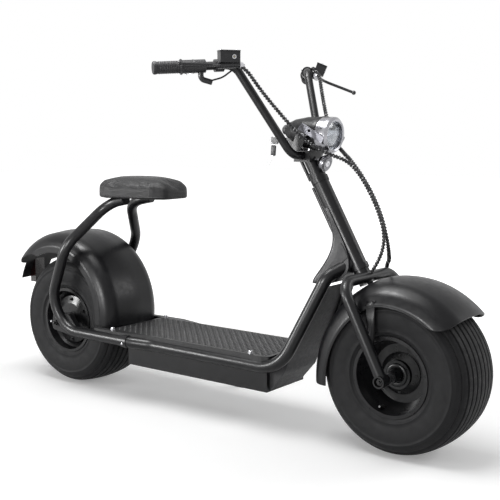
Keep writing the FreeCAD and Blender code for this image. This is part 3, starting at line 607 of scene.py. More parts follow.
def tread_tree():
    """Low lozenges in rows over a plate, every other one turned the other way."""
    tree, given, out = new_tree("tread_plate", Length=FLOAT, Width=FLOAT, Columns=INT, Rows=INT,
                                Size=FLOAT, Height=FLOAT)
    maths = maths_in(tree)
    grid = node(tree, "GeometryNodeMeshGrid",
                {"Size X": given["Length"], "Size Y": given["Width"],
                 "Vertices X": given["Columns"], "Vertices Y": given["Rows"]}).outputs[0]
    index = node(tree, "GeometryNodeInputIndex").outputs[0]
    column = maths("FLOOR", maths("DIVIDE", index, given["Rows"]))
    row = maths("MODULO", index, given["Rows"])
    odd = maths("MODULO", maths("ADD", column, row), 2.0)
    turn = maths("MULTIPLY", maths("SUBTRACT", odd, 0.5), math.pi / 2)
    rotation = node(tree, "ShaderNodeCombineXYZ", {"Z": turn}).outputs[0]
    ball = node(tree, "GeometryNodeMeshUVSphere", {"Segments": 8, "Rings": 4, "Radius": 1.0})
    size = node(tree, "ShaderNodeCombineXYZ",
                {"X": given["Size"], "Y": maths("MULTIPLY", given["Size"], 0.36),
                 "Z": given["Height"]}).outputs[0]
    lozenge = node(tree, "GeometryNodeTransform", {"Geometry": ball.outputs[0], "Scale": size})
    spread_out = node(tree, "GeometryNodeInstanceOnPoints",
                      {"Points": grid, "Instance": lozenge.outputs[0], "Rotation": rotation})
    return close_tree(tree, spread_out, given, out)


def head_template(kind):
    """The head of one fixing, a millimetre across for each unit of size."""
    bm = bmesh.new()
    if kind == "hex":
        for a, b, radius, sides in ((0.0, 0.16, 0.72, 24), (0.16, 0.72, 0.56, 6)):
            turned([(a, 0.0), (a, radius), (b, radius), (b, 0.0)], Matrix.Identity(4), sides, bm)
        turned([(0.72, 0.0), (0.72, 0.30), (1.0, 0.27), (1.05, 0.20), (1.05, 0.0)],
               Matrix.Identity(4), 16, bm)
    else:
        turned([(0.0, 0.0), (0.0, 0.62), (0.12, 0.62), (0.16, 0.50), (0.52, 0.50), (0.60, 0.42),
                (0.60, 0.25), (0.30, 0.25), (0.30, 0.0)], Matrix.Identity(4), 18, bm)
    tidy_faces(bm)
    return placed("head_" + kind, closed(bm, kind))


def fixings(name, body, points, kind, finish_name="bare_steel"):
    """A group of bolts or screws of one kind, from (point, facing, size in mm) rows."""
    base = bpy.data.meshes.new(name)
    base.from_pydata([point for point, facing, size in points], [], [])
    base.attributes.new("facing", "FLOAT_VECTOR", "POINT")
    base.attributes.new("size", "FLOAT", "POINT")
    ways = [c for _, way, _ in points for c in Vector(way).normalized()]
    base.attributes["facing"].data.foreach_set("vector", ways)
    base.attributes["size"].data.foreach_set("value", [width / 1000 for *_, width in points])
    head = head_template(kind)
    tree = bpy.data.node_groups.get("fixings") or fixings_tree()
    mesh = grow(tree, base, Head=head, Finish=finishes()[finish_name])
    bpy.data.objects.remove(head)
    shown(name, mesh, body, "bare_steel", finish_name)


def both_sides(spots, way, size):
    """Rows for fixings at left-hand spots, in millimetres, and at their mirror images."""
    return [(at(x, side * y, z), (way[0], side * way[1], way[2]), size)
            for x, y, z in spots for side in SIDES]


# Settings

def colour_property(label, text, default):
    """A colour without its alpha."""
    return bpy.props.FloatVectorProperty(name=label, description=text, subtype="COLOR", size=3,
                                         min=0.0, max=1.0, default=default)


def length_property(label, text, default):
    """A length in metres."""
    return bpy.props.FloatProperty(name=label, description=text, unit="LENGTH", default=default,
                                   min=0.0)


def share_property(label, text, default, low, high):
    """A plain number between two limits."""
    return bpy.props.FloatProperty(name=label, description=text, default=default, min=low,
                                   max=high)


def power_property(label, text, default):
    """A light's power in watts."""
    return bpy.props.FloatProperty(name=label, description=text, unit="POWER", default=default,
                                   min=0.0)


class PaintSettings(bpy.types.PropertyGroup):
    """Colours and roughness of the painted metal"""
    frame: colour_property("Frame", "Colour of the frame, fork and bar", (0.006, 0.006, 0.007))
    fender: colour_property("Fenders", "Colour of the fenders and lamp shell",
                            (0.004, 0.004, 0.005))
    wheel: colour_property("Wheels", "Colour of the rims and hubs", (0.005, 0.005, 0.006))
    frame_gloss: share_property("Frame roughness", "Roughness of the frame's powder coat", 0.34,
                                0.1, 0.9)
    fender_gloss: share_property("Fender roughness", "Roughness of the fenders' paint", 0.34,
                                 0.1, 0.9)


class RubberSettings(bpy.types.PropertyGroup):
    """Colours of the tyres, the mat and the seat's cover"""
    tyre: colour_property("Tyres", "Colour of the tyre rubber", (0.011, 0.011, 0.012))
    deck: colour_property("Deck", "Colour of the deck's mat", (0.013, 0.013, 0.014))
    seat: colour_property("Seat", "Colour of the seat's cover", (0.009, 0.009, 0.010))


class TyreSettings(bpy.types.PropertyGroup):
    """Grooves and fineness of the tyres"""
    groove_depth: length_property("Groove depth", "Depth of the grooves round the tread", 0.006)
    groove_width: length_property("Groove width", "Width of the grooves round the tread", 0.0056)
    steps: bpy.props.IntProperty(name="Steps", default=144, min=48, max=240,
                                 description="Segments round each tyre")


class SeatSettings(bpy.types.PropertyGroup):
    """How far the cushion swells, and its grain"""
    pressure: share_property("Pressure", "Air pressure that rounds the cushion", 4.0, 0.0, 20.0)
    swell: length_property("Swell", "The furthest that the cover moves out", 0.010)
    voxel: length_property("Voxel", "Grain of the cushion's mesh", 0.005)


class DeckSettings(bpy.types.PropertyGroup):
    """Pattern of the deck's mat"""
    pitch: length_property("Pitch", "Distance between the mat's raised lozenges", 0.0122)
    height: length_property("Height", "How far the lozenges stand up", 0.0018)


class HoseSettings(bpy.types.PropertyGroup):
    """Thickness of the hoses and their wrap"""
    core: length_property("Core radius", "Radius of the hose inside its wrap", 0.0040)
    pitch: length_property("Pitch", "Distance between two turns of the wrap", 0.0092)
    band: length_property("Band radius", "Radius of the wrap's band", 0.0025)


class GripSettings(bpy.types.PropertyGroup):
    """Ribs of the grips"""
    pitch: length_property("Pitch", "Distance between two ribs of a grip", 0.0052)
    rib: length_property("Rib radius", "Radius of a rib's rounded edge", 0.0012)


class StageSettings(bpy.types.PropertyGroup):
    """Floor and lights"""
    floor: colour_property("Floor", "Colour of the floor", (0.90, 0.90, 0.90))
    key_power: power_property("Key light", "Power of the large light over the scooter", 70.0)
    card_power: power_property("Reflected cards",
                               "Power of the cards that only show as reflections", 120.0)
    side_power: power_property("Side and rim light",
                               "Power that the lights beside and behind the scooter share", 75.0)


GROUPS = {"scooter_paint": PaintSettings, "scooter_rubber": RubberSettings,
          "scooter_tyre": TyreSettings, "scooter_seat": SeatSettings,
          "scooter_deck": DeckSettings, "scooter_hose": HoseSettings,
          "scooter_grip": GripSettings, "scooter_stage": StageSettings}


# Wheels

TYRE_R = 228.5
CROWN_HALF = 74.5
CROWN_DROP = 6.0
SHOULDER_WIDTH = 31.0
SHOULDER_DROP = 22.0
GROOVES = (12.0, 35.0, 57.0, 77.0, 94.0)
GROOVE_LAND = 3.0
GROOVE_LIP = 0.5
LIP_DROP = 0.2
SIDEWALL = [
    (-94, 108.7), (-97.5, 110), (-101, 116), (-103.5, 121), (-104.2, 123), (-106.4, 124.5),
    (-107.4, 127), (-107.0, 130), (-106.4, 131.5), (-108.6, 140), (-110.3, 150), (-111.3, 160),
    (-111.8, 170), (-111.6, 178), (-111.0, 184), (-112.2, 186), (-112.3, 189), (-110.4, 191),
    (-109.2, 194), (-107.6, 197.5), (-105.8, 200.0),
]


def crown(along):
    """The tread's radius at a distance from the tyre's middle."""
    reach = abs(along)
    if reach <= CROWN_HALF:
        return TYRE_R - CROWN_DROP * (reach / CROWN_HALF) ** 2
    fall = ((reach - CROWN_HALF) / SHOULDER_WIDTH) ** 1.5
    return TYRE_R - CROWN_DROP - SHOULDER_DROP * fall


def tyre_profile(depth, width):
    """The tyre's closed section: bore, sidewalls with their rings, and grooved tread."""
    half = width / 2
    middles = [-groove for groove in reversed(GROOVES)] + list(GROOVES)
    tread = []
    for middle, following in zip(middles, middles[1:] + [None]):
        bottom = crown(middle) - depth * (0.62 if abs(middle) > GROOVES[-2] else 1.0)
        for side in SIDES:
            edge = [(middle + side * (half + out), drop)
                    for out, drop in ((GROOVE_LAND, 0.0), (GROOVE_LIP, LIP_DROP))]
            points = [(along, crown(along) - drop) for along, drop in edge]
            points.append((middle + side * half * 0.55, bottom))
            tread += points if side < 0 else points[::-1]
        if following is not None:
            rib = (middle + following) / 2
            tread.append((rib, crown(rib)))
    return SIDEWALL + tread + [(-along, radius) for along, radius in reversed(SIDEWALL)]


class MakeTyres(bpy.types.Operator):
    """Make both tyres with their grooved treads and ringed sidewalls"""
    bl_idname = "scooter.make_tyres"
    bl_label = "Make tyres"

    def execute(self, context):
        settings = context.scene.scooter_tyre
        profile = tyre_profile(settings.groove_depth * 1000, settings.groove_width * 1000)
        for end, axle in AXLES.items():
            name = end + "_tyre_detailed"
            mesh = spun_mesh(name, profile, axis_frame(at(*axle), (0, 1, 0)), settings.steps)
            piece = shown(name, mesh, end + "_wheel", "tyre_rubber", TYRE_FINISH[end], 50.0)
            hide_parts(end + "_tyre")
        return {"FINISHED"}


# Each ring: its foot and its crest along the axle, and its two radii.
HUB_RINGS = {"front": (-62.0, -65.0, 19.0, 33.0), "rear": (-96.0, -98.5, 13.0, 27.0)}
# Each wheel: where its bolts sit along the axle, their circle's radius, their count and size.
WHEEL_BOLTS = {"front": (-39.0, 51.0, 4, 9.0), "rear": (-80.0, 72.0, 6, 8.5)}
AXLE_NUTS = {"rear": ("frame", 20.0), "front": ("steer", 17.0)}
NUT_OUT = 148.0
VALVE_TURN = {"rear": 190.0, "front": 250.0}
VALVE_CAP = {"rear": "bare_steel", "front": "black_steel"}
VALVE_CIRCLE = 99.0
VALVE_FOOT = -74.0


class MakeWheelTrim(bpy.types.Operator):
    """Make the hub rings, wheel bolts, valves and axle nuts"""
    bl_idname = "scooter.make_wheel_trim"
    bl_label = "Make wheel trim"

    def execute(self, context):
        for end, axle in AXLES.items():
            body = end + "_wheel"
            spun(end + "_hub_ring", self.ring(*HUB_RINGS[end]), axis_frame(at(*axle), (0, 1, 0)),
                 64, body, "bare_steel", "wheel_paint")
            along, radius, count, size = WHEEL_BOLTS[end]
            rows = []
            for step in range(count):
                angle = math.radians(90 + 360 * step / count)
                rows.append((at(axle[0] + radius * math.cos(angle), along,
                                axle[2] + radius * math.sin(angle)), (0, -1, 0), size))
            fixings(end + "_wheel_bolts", body, rows, "hex", "black_steel")
            self.valve(end, axle, body)
        for end, (body, size) in AXLE_NUTS.items():
            rows = both_sides([(AXLES[end][0], NUT_OUT, AXLE_Z)], (0, 1, 0), size)
            fixings(end + "_axle_nuts", body, rows, "hex", "black_steel")
        return {"FINISHED"}

    def ring(self, foot, crest, small, large):
        """The section of a hub's ring, rounded on its outside."""
        section = [(foot, small), (foot, large)]
        for step in range(9):
            turn = math.pi * step / 8
            section.append(((foot + crest) / 2 - 4 * math.sin(turn),
                            (small + large) / 2 + (large - small) / 2 * math.cos(turn)))
        return section

    def valve(self, end, axle, body):
        """The valve on a rim's right side, with its cap."""
        angle = math.radians(VALVE_TURN[end])
        way = Vector((math.cos(angle), 0, math.sin(angle)))
        foot = Vector(axle) + way * VALVE_CIRCLE
        where = axis_frame(at(foot.x, VALVE_FOOT, foot.z), way * -0.25 - Vector((0, 1, 0)))
        stem = [(0, 0.0), (0, 5.5), (8, 4.4), (16, 3.6), (16, 0.0)]
        cap = [(15, 0.0), (15, 4.0), (25, 4.0), (26.5, 3.0), (26.5, 0.0)]
        spun(end + "_valve_stem", stem, where, 16, body, "bare_steel", "hose_rubber")
        spun(end + "_valve_cap", cap, where, 16, body, "bare_steel", VALVE_CAP[end])


# Seat

SEAT_PAN_TOP = 690.0
SEAT_STUDS = [(211.0, 42.0, SEAT_PAN_TOP - 4.0), (395.0, 42.0, SEAT_PAN_TOP - 4.0)]
PAD_SHARE = (0.975, 0.965)
PAD_LOWERED = 0.006
COVER_FOOT = 0.021
COVER_ABOVE = 0.001
SEAT_DOME = 0.14
NOSE_FALL = 0.12
NOSE_ROUND = 0.36
NOSE_FROM = 0.5
WELT_R = 0.0021
WELT_Z = 680.5
WELT_SINK = 0.6


class MakeSeat(bpy.types.Operator):
    """Make the padded seat with its welt and the studs under it"""
    bl_idname = "scooter.make_seat"
    bl_label = "Make seat"

    def execute(self, context):
        cushion = self.swollen(context.scene.scooter_seat)
        piece = shown("seat_cushion", cushion, "frame", "seat_leather", crease=180.0)
        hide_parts("seat_pad")
        welt = tube("seat_welt", self.welt_line(cushion), WELT_R, cyclic=True)
        shown("seat_welt", welt, "frame", "seat_leather", crease=180.0)
        fixings("seat_studs", "frame", both_sides(SEAT_STUDS, (0, 0, -1), 13.0), "hex")
        return {"FINISHED"}

    def swollen(self, settings):
        """The cushion's mesh, remeshed, blown up a little and smoothed."""
        source = merged_copy(frame["nodes"]["seat_pad"].data, 1e-5)
        low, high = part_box("seat_pad")
        middle = (low + high) / 2
        for vert in source.vertices:
            for i, share in enumerate(PAD_SHARE):
                vert.co[i] = middle[i] + (vert.co[i] - middle[i]) * share
            if vert.co.z > (SEAT_PAN_TOP + 5) / 1000:
                vert.co.z -= PAD_LOWERED
        holder = placed("cushion_work", source)
        self.change(holder, "REMESH", mode="VOXEL", voxel_size=settings.voxel)
        self.shape_cover(holder.data)
        self.change(holder, "SMOOTH", factor=0.5, iterations=10)
        rest = [vert.co.copy() for vert in holder.data.vertices]
        held = holder.vertex_groups.new(name="held")
        held.add([vert.index for vert in holder.data.vertices
                  if vert.co.z < (SEAT_PAN_TOP + 4) / 1000], 1.0, "REPLACE")
        self.blow_up(holder, settings.pressure)
        self.cap(holder.data, rest, settings.swell)
        self.change(holder, "SMOOTH", factor=0.4, iterations=3)
        self.change(holder, "SUBSURF", levels=1, render_levels=1)
        mesh = holder.data
        bpy.data.objects.remove(holder)
        for vert in mesh.vertices:
            vert.co.z = min(max(vert.co.z, low.z), high.z + COVER_ABOVE)
        return mesh

    def change(self, holder, kind, **settings):
        """Runs one modifier on the object's own mesh."""
        modifier = holder.modifiers.new(kind.lower(), kind)
        for key, value in settings.items():
            setattr(modifier, key, value)
        self.apply(holder)

    def apply(self, holder):
        """Makes what the modifiers show the object's own mesh."""
        mesh = real_mesh(holder)
        holder.modifiers.clear()
        holder.data = mesh

    def shape_cover(self, mesh):
        """Domes the top and lets it fall off toward the nose, from above the pan."""
        low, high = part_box("seat_pad")
        foot = low.z + COVER_FOOT
        for vert in mesh.vertices:
            if vert.co.z <= foot:
                continue
            along = (vert.co.x - low.x) / (high.x - low.x)
            fall = max(0.0, (along - NOSE_FROM) / (1.0 - NOSE_FROM))
            dome = 1.0 - SEAT_DOME * (abs(vert.co.y) / high.y) ** 2
            nose = 1.0 - NOSE_FALL * fall ** 2 - NOSE_ROUND * fall ** 8
            vert.co.z = foot + (vert.co.z - foot) * dome * nose

    def blow_up(self, holder, pressure):
        """Fills the cover with air over twenty frames, its underside held."""
        cloth = holder.modifiers.new("air", "CLOTH")
        cloth.settings.use_pressure = True
        cloth.settings.uniform_pressure_force = pressure
        cloth.settings.effector_weights.gravity = 0
        cloth.settings.vertex_group_mass = "held"
        cloth.settings.quality = 5
        cloth.point_cache.frame_start = 1
        cloth.point_cache.frame_end = 20
        for step in range(1, 21):
            bpy.context.scene.frame_set(step)
        self.apply(holder)
        bpy.context.scene.frame_set(1)

    def cap(self, mesh, rest, furthest):
        """Keeps each point of the cover near where it started."""
        for vert, start in zip(mesh.vertices, rest):
            move = vert.co - start
            if move.length > furthest:
                vert.co = start + move * (furthest / move.length)

    def welt_line(self, mesh):
        """Points round the cushion's outside at the welt's height, from rays shot inward."""
        bm = bmesh.new()
        bm.from_mesh(mesh)
        finder = BVHTree.FromBMesh(bm)
        bm.free()
        low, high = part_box("seat_pad")
        middle = (low + high) / 2
        points = []
        for step in range(72):
            angle = math.radians(5 * step)
            way = Vector((math.cos(angle), math.sin(angle), 0))
            start = Vector((middle.x, middle.y, WELT_Z / 1000)) + way * 0.4
            hit = finder.ray_cast(start, -way, 0.4)
            if hit[0] is None:
                raise RuntimeError("the seat has no surface at its welt")
            points.append(hit[0] - way * WELT_SINK / 1000)
        return points


# Deck

DECK_TOP = 232.0
DECK_SCREWS = [(259.0, 132.0, DECK_TOP - 0.3), (833.0, 118.0, DECK_TOP - 0.3)]
TREAD_REAR = 262.0
TREAD_FRONT = 886.0
TREAD_HALF = 112.0
LOZENGE_SHARE = 0.56


class MakeDeck(bpy.types.Operator):
    """Make the raised pattern of the deck's mat and the screws that hold the deck"""
    bl_idname = "scooter.make_deck"
    bl_label = "Make deck tread"

    def execute(self, context):
        settings = context.scene.scooter_deck
        length = (TREAD_FRONT - TREAD_REAR) / 1000
        width = 2 * TREAD_HALF / 1000
        mesh = grow(tread_tree(), bpy.data.meshes.new("tread"), Length=length, Width=width,
                    Columns=round(length / settings.pitch), Rows=round(width / settings.pitch),
                    Size=settings.pitch * LOZENGE_SHARE, Height=settings.height,
                    Finish=finishes()["deck_rubber"])
        mesh.transform(Matrix.Translation(at((TREAD_REAR + TREAD_FRONT) / 2, 0, DECK_TOP)))
        shown("deck_tread_pattern", mesh, "frame", "deck_rubber")
        fixings("deck_screws", "frame", both_sides(DECK_SCREWS, (0, 0, 1), 14.0), "socket")
        return {"FINISHED"}


# Handlebar and controls

BAR_END = Vector((695.0, -379.0, 1072.0))
BAR_CORNER = Vector((827.0, -186.0, 1085.0))
GRIP_WAY = (BAR_END - BAR_CORNER).normalized()
AHEAD = Vector((-GRIP_WAY.y, GRIP_WAY.x, 0)).normalized()
GRIP_LENGTHS = {-1: 80.0, 1: 118.0}
GRIP_R = 17.0
PERCH_FROM_END = 188.0
CYLINDER_AHEAD = 34.0
CONTROL_TILT = {-1: 0.0, 1: -22.0}


def on_grip(from_end, ahead=0.0, up=0.0):
    """A point beside the right end of the bar, in millimetres."""
    return BAR_END - GRIP_WAY * from_end + AHEAD * ahead + Vector((0, 0, up))


def control_frame(side):
    """Local millimetres of one brake control to the scene: X to the bar's end, Y ahead, Z up."""
    along = Vector((GRIP_WAY.x, GRIP_WAY.y, 0)).normalized()
    turn = Matrix((along, AHEAD, (0, 0, 1))).transposed().to_4x4()
    middle = on_grip(PERCH_FROM_END, CYLINDER_AHEAD)
    base = on_grip(PERCH_FROM_END)
    tilt = Matrix.Rotation(math.radians(CONTROL_TILT[side]), 4, GRIP_WAY)
    local = Matrix.Translation(base) @ tilt @ Matrix.Translation(middle - base) @ turn
    to_scene = Matrix.Translation((-MIDDLE_X / 1000, 0, 0)) @ Matrix.Scale(0.001, 4)
    whole = to_scene @ local
    return MIRROR @ whole if side > 0 else whole


def sided(side, vector):
    """A vector of the right side, in the scene, for the asked side."""
    return MIRROR @ vector if side > 0 else vector


GRIP_FLANGE = [(0, 12.2), (0, 20.5), (1.5, 22), (4, 22), (5.5, 19), (8, 17.1), (8, 12.2)]
GRIP_CAP = [(-6, 12.2), (-6, 18.2), (0, 18.6), (2.4, 17.4), (3.2, 13), (2.6, 5), (2.4, 0), (0, 0),
            (0, 12.2)]


class MakeGrips(bpy.types.Operator):
    """Make the ribs, flanges and end caps of both grips"""
    bl_idname = "scooter.make_grips"
    bl_label = "Make grips"

    def execute(self, context):
        settings = context.scene.scooter_grip
        tree = rings_tree()
        for side in SIDES:
            length = GRIP_LENGTHS[side]
            ribs = grow(tree, bpy.data.meshes.new("ribs"),
                        Count=int((length - 14) / (settings.pitch * 1000)),
                        Pitch=settings.pitch * 1000, Radius=GRIP_R - 0.2,
                        Thickness=settings.rib * 1000, Finish=finishes()["grip_rubber"])
            ribs.transform(axis_frame(at(*on_grip(length - 8)), GRIP_WAY))
            made = {"ribs": ribs}
            for label, profile, from_end in (("flange", GRIP_FLANGE, length),
                                             ("cap", GRIP_CAP, 0)):
                where = axis_frame(at(*on_grip(from_end)), GRIP_WAY)
                made[label] = spun_mesh(label, profile, where, 48)
            for label, mesh in made.items():
                if side > 0:
                    mesh.transform(MIRROR)
                    mesh.flip_normals()
                shown(SIDE_NAMES[side] + "_grip_" + label, mesh, "steer", "grip_rubber")
        return {"FINISHED"}


# Local millimetres of a brake control: label, two corners, chamfer and slot.
RESERVOIR_TOP = [("lid", (-49, -15, 36.5), (11, 19, 40.5), 1.4, "control_alloy"),
                 ("gasket", (-48.6, -14.6, 34.2), (10.6, 18.6, 35.4), 0.5, "grip_rubber")]
RESERVOIR_SCREWS = [((-43, 2, 40.3), 5.5), ((5, 2, 40.3), 5.5), ((2, 4, 8.5), 7.0)]
WINDOW_AT = (-30, 17.9, 22)
WINDOW_RING = [(0, 3.6), (0, 6.2), (1.4, 6.0), (1.6, 4.0), (1.0, 3.6)]
WINDOW_PANE = [(0, 0), (0, 3.8), (0.9, 3.7), (1.3, 0)]
HOSE_BOLT_AT = (-50.5, 0, 0)
THROTTLE_SEAM = [(0, 18.6), (0, 19.5), (0.6, 19.9), (1.4, 19.9), (2, 19.5), (2, 18.6)]


class MakeControls(bpy.types.Operator):
    """Make the reservoir caps, windows, screws and hose bolts of the brake controls"""
    bl_idname = "scooter.make_controls"
    bl_label = "Make controls"

    def execute(self, context):
        for side in SIDES:
            self.control(side, SIDE_NAMES[side] + "_control_", control_frame(side))
        seam_at = axis_frame(at(*on_grip(GRIP_LENGTHS[-1] + 34)), GRIP_WAY)
        spun("throttle_seam", THROTTLE_SEAM, seam_at, 48, "steer", "control_alloy")
        rows = [(at(*on_grip(GRIP_LENGTHS[-1] + along, 0, -18.6)), (0, 0, -1), 6.0)
                for along in (12, 26)]
        fixings("throttle_screws", "steer", rows, "socket")
        return {"FINISHED"}

    def control(self, side, name, where):
        """The small parts of one brake control."""
        for label, low, high, chamfer, slot in RESERVOIR_TOP:
            mesh = closed(block(where, low, high, chamfer), label)
            shown(name + label, mesh, "steer", slot)
        turn = where.to_3x3()
        inward, ahead, up = [(turn @ Vector(way)).normalized()
                             for way in ((-1, 0, 0), (0, 1, 0), (0, 0, 1))]
        rows = [(where @ Vector(spot), up, size) for spot, size in RESERVOIR_SCREWS]
        fixings(name + "screws", "steer", rows, "socket")
        glass_at = axis_frame(where @ Vector(WINDOW_AT), ahead)
        spun(name + "window_ring", WINDOW_RING, glass_at, 32, "steer", "bare_steel")
        spun(name + "window", WINDOW_PANE, glass_at, 32, "steer", "control_alloy", "window")
        fixings(name + "hose_bolt", "steer", [(where @ Vector(HOSE_BOLT_AT), inward, 15.0)], "hex")
        rows = [(sided(side, at(*on_grip(PERCH_FROM_END + along, -15.5, 9))),
                 sided(side, -AHEAD), 6.0) for along in (-7.0, 7.0)]
        fixings(name + "clamp_screws", "steer", rows, "socket")


# Hoses

HOSE_HALF = 4.8
HOSE_TOP = [
    (826, 216, 1096), (866, 194, 1084), (900, 160, 1014), (952, 110, 930), (1000, 76, 868),
    (1052, 46, 834), (1106, HOSE_HALF, 812), (1160, HOSE_HALF, 748), (1204, HOSE_HALF, 668),
    (1224, HOSE_HALF, 600),
]
HOSE_TO_CROWN = [(1208, HOSE_HALF, 536), (1180, HOSE_HALF, 497)]
HOSE_TO_CALIPER = [
    (1216, 34, 546), (1190, 82, 524), (1162, 122, 508), (1146, 142, 478), (1162, 145, 443),
    (1190, 145, 390), (1212, 144, 348), (1228, 137, 318), (1242, 120, 298), (1252, 101, 284),
]


class MakeHoses(bpy.types.Operator):
    """Make both brake hoses with their spiral wrap"""
    bl_idname = "scooter.make_hoses"
    bl_label = "Make hoses"

    def execute(self, context):
        settings = context.scene.scooter_hose
        tree = wrap_tree()
        for side, lower in ((-1, HOSE_TO_CROWN), (1, HOSE_TO_CALIPER)):
            name = SIDE_NAMES[side] + "_hose"
            route = [at(x, side * y, z) for x, y, z in HOSE_TOP + lower]
            core = shown(name, tube(name, route, settings.core, sides=2), "steer", "hose_rubber")
            if side < 0:
                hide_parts("brake_hoses")
            mesh = grow(tree, line_mesh(route), Pitch=settings.pitch, Radius=settings.core,
                        Band=settings.band, Finish=finishes()["hose_wrap"])
            shown(name + "_wrap", mesh, "steer", "hose_rubber", "hose_wrap")
        return {"FINISHED"}


# Lamp, horn and keys

LAMP_FACE = (1050.0, 0.0, 885.0)
LAMP_TILT = math.radians(5.5)
LAMP_WAY = (-math.cos(LAMP_TILT), 0.0, math.sin(LAMP_TILT))
LAMP_PIVOTS = [(975.0, 57.2, 884.0)]
HORN_FACE = (1024.0, 0.0, 803.0)
HORN_WAY = (0.94, 0, -0.34)


def dished(depth, rise, width, steps):
    """Points of a dish from its middle to its rim, as (along, radius)."""
    return [(depth + rise * (step / steps) ** 2, width * step / steps)
            for step in range(steps + 1)]


LAMP_LENS = dished(3.0, 6.0, 40.4, 8) + [(11.2, 40.4)] + dished(5.4, 5.8, 38.4, 7)[::-1]
LAMP_BOWL = ([(12.0, 40.6), (12.0, 36.6), (14.5, 35.2)] + dished(38.0, -22.5, 34.8, 10)[:1:-1]
             + [(38.6, 0), (39.8, 0), (39.8, 40.6)])
LAMP_BULB = [(18, 0), (19, 4.2), (22, 6.4), (27, 6.0), (31, 4.4), (38, 4.0), (38, 0)]
LAMP_BULB_BASE = [(29, 0), (29, 7.4), (31, 8.4), (38, 8.4), (38, 0)]
LAMP_RIM_BEAD = [(1.0, 40.9), (-1.6, 43.0), (-2.4, 45.0), (-2.2, 47.0), (0.0, 48.6), (2.0, 48.2),
                 (2.0, 40.9)]
LAMP_SHELL_SEAM = [(38.5, 50.2), (38.5, 51.6), (40.5, 52.4), (43.0, 52.0), (43.5, 50.2)]
LAMP_TAIL_BOOT = [(164, 14), (166, 15.5), (176, 14.5), (181, 10), (182, 0), (164, 0)]
HORN_LIP = [(0, 20.5), (0.6, 24.8), (-1.5, 25.6), (-4.5, 25.4), (-4.5, 22)]
HORN_DOME = [(0.2, 0), (3.9, 4.5), (3.2, 9), (1.2, 10.5), (-1, 10.5), (-1, 0)]


class MakeLamp(bpy.types.Operator):
    """Make the lamp's lens, reflector, bulb and rings, the boot at its tail, and the horn's lip"""
    bl_idname = "scooter.make_lamp"
    bl_label = "Make lamp"

    def execute(self, context):
        where = axis_frame(at(*LAMP_FACE), LAMP_WAY)
        piece = spun("lamp_lens", LAMP_LENS, where, 64, "steer", "lamp_glass")
        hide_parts("headlight_lens")
        for name, profile, steps, slot, finish_name in (
                ("lamp_reflector", LAMP_BOWL, 64, "bright_trim", "reflector"),
                ("lamp_bulb", LAMP_BULB, 32, "lamp_glass", "lamp_glass"),
                ("lamp_bulb_base", LAMP_BULB_BASE, 32, "bare_steel", "bare_steel"),
                ("lamp_rim_bead", LAMP_RIM_BEAD, 96, "bright_trim", "bright_trim"),
                ("lamp_shell_seam", LAMP_SHELL_SEAM, 96, "fender_paint", "fender_paint"),
                ("lamp_tail_boot", LAMP_TAIL_BOOT, 32, "fender_paint", "grip_rubber")):
            spun(name, profile, where, steps, "steer", slot, finish_name)
        rows = both_sides(LAMP_PIVOTS, (0, 1, 0), 11.0)
        fixings("lamp_pivot_bolts", "steer", rows, "hex")
        horn_at = axis_frame(at(*HORN_FACE), HORN_WAY)
        spun("horn_lip", HORN_LIP, horn_at, 64, "steer", "horn_metal")
        spun("horn_dome", HORN_DOME, horn_at, 48, "steer", "horn_metal", "bare_steel")
        return {"FINISHED"}


KEY_RING = ((828.0, 872.0), 9.0, 9.0, 1.5, 16)
KEY_LOOP = ((830.0, 857.0), 3.4, 4.4, 0.0, 12)
KEY_HEAD = (831.0, 0.0, 840.0)
KEY_HEAD_LEAN = math.radians(4)
BLADE_TOP = (827.5, 0.0, 824.5)
BLADE_WAY = Vector((-30.0, 0.0, -49.0)).normalized()


def loop(centre, across, high, twist, steps):
    """Points round an upright loop in the vehicle's middle plane, twisted a little out of it."""
    turns = [2 * math.pi * step / steps for step in range(steps)]
    return [at(centre[0] + across * math.cos(turn), twist * math.sin(turn),
               centre[1] + high * math.sin(turn)) for turn in turns]


class MakeKeys(bpy.types.Operator):
    """Make the key ring with the spare key that hangs from it"""
    bl_idname = "scooter.make_keys"
    bl_label = "Make keys"

    def execute(self, context):
        ring = tube("key_ring", loop(*KEY_RING), 0.0008, cyclic=True)
        shown("key_ring", ring, "steer", "control_alloy", "bare_steel")
        where = (Matrix.Translation(at(*KEY_HEAD)) @ Matrix.Rotation(KEY_HEAD_LEAN, 4, "Y")
                 @ Matrix.Scale(0.001, 4))
        fob = block(where, (-8.5, -3.6, -17), (8.5, 3.6, 15), 3.4)
        shown("spare_key_head", closed(fob, "fob"), "steer", "control_alloy", "key_plastic")
        eye = tube("loop", loop(*KEY_LOOP), 0.0009, cyclic=True)
        shown("spare_key_loop", eye, "steer", "control_alloy", "bare_steel")
        side = Vector((0, 1, 0))
        turn = Matrix((BLADE_WAY.cross(side), side, BLADE_WAY)).transposed().to_4x4()
        where = Matrix.Translation(at(*BLADE_TOP)) @ turn @ Matrix.Scale(0.001, 4)
        blade = block(where, (-2.6, -0.9, -2), (2.6, 0.9, 33), 0.4)
        for step in range(4):
            block(where, (2.0, -0.7, 9 + 6 * step), (3.4 + 0.5 * (step % 2), 0.7, 12 + 6 * step),
                  0.3, blade)
        shown("spare_key_blade", closed(blade, "blade"), "steer", "control_alloy", "bare_steel")
        return {"FINISHED"}


# Fenders

# Each arc of the front fender: its radius, and where it starts and ends in degrees.
FENDER_ARCS = [(299.0, 45.5, 93.0), (190.0, 93.0, 122.0), (323.0, 122.0, 184.0)]
FENDER_CENTRE = (1290.0, 201.5)
FENDER_HALF = 125.0
FENDER_SKIRT = 73.0
FENDER_DROP = 14.0
FENDER_CORNER = 46.0
FENDER_SCREWS = [(1246.0, 122.0, 336.0)]
EDGE_SINK = 1.5
EDGE_R = 0.0021
KNIFE_HALF = 160.0
KNIFE_SPARE = 6.0


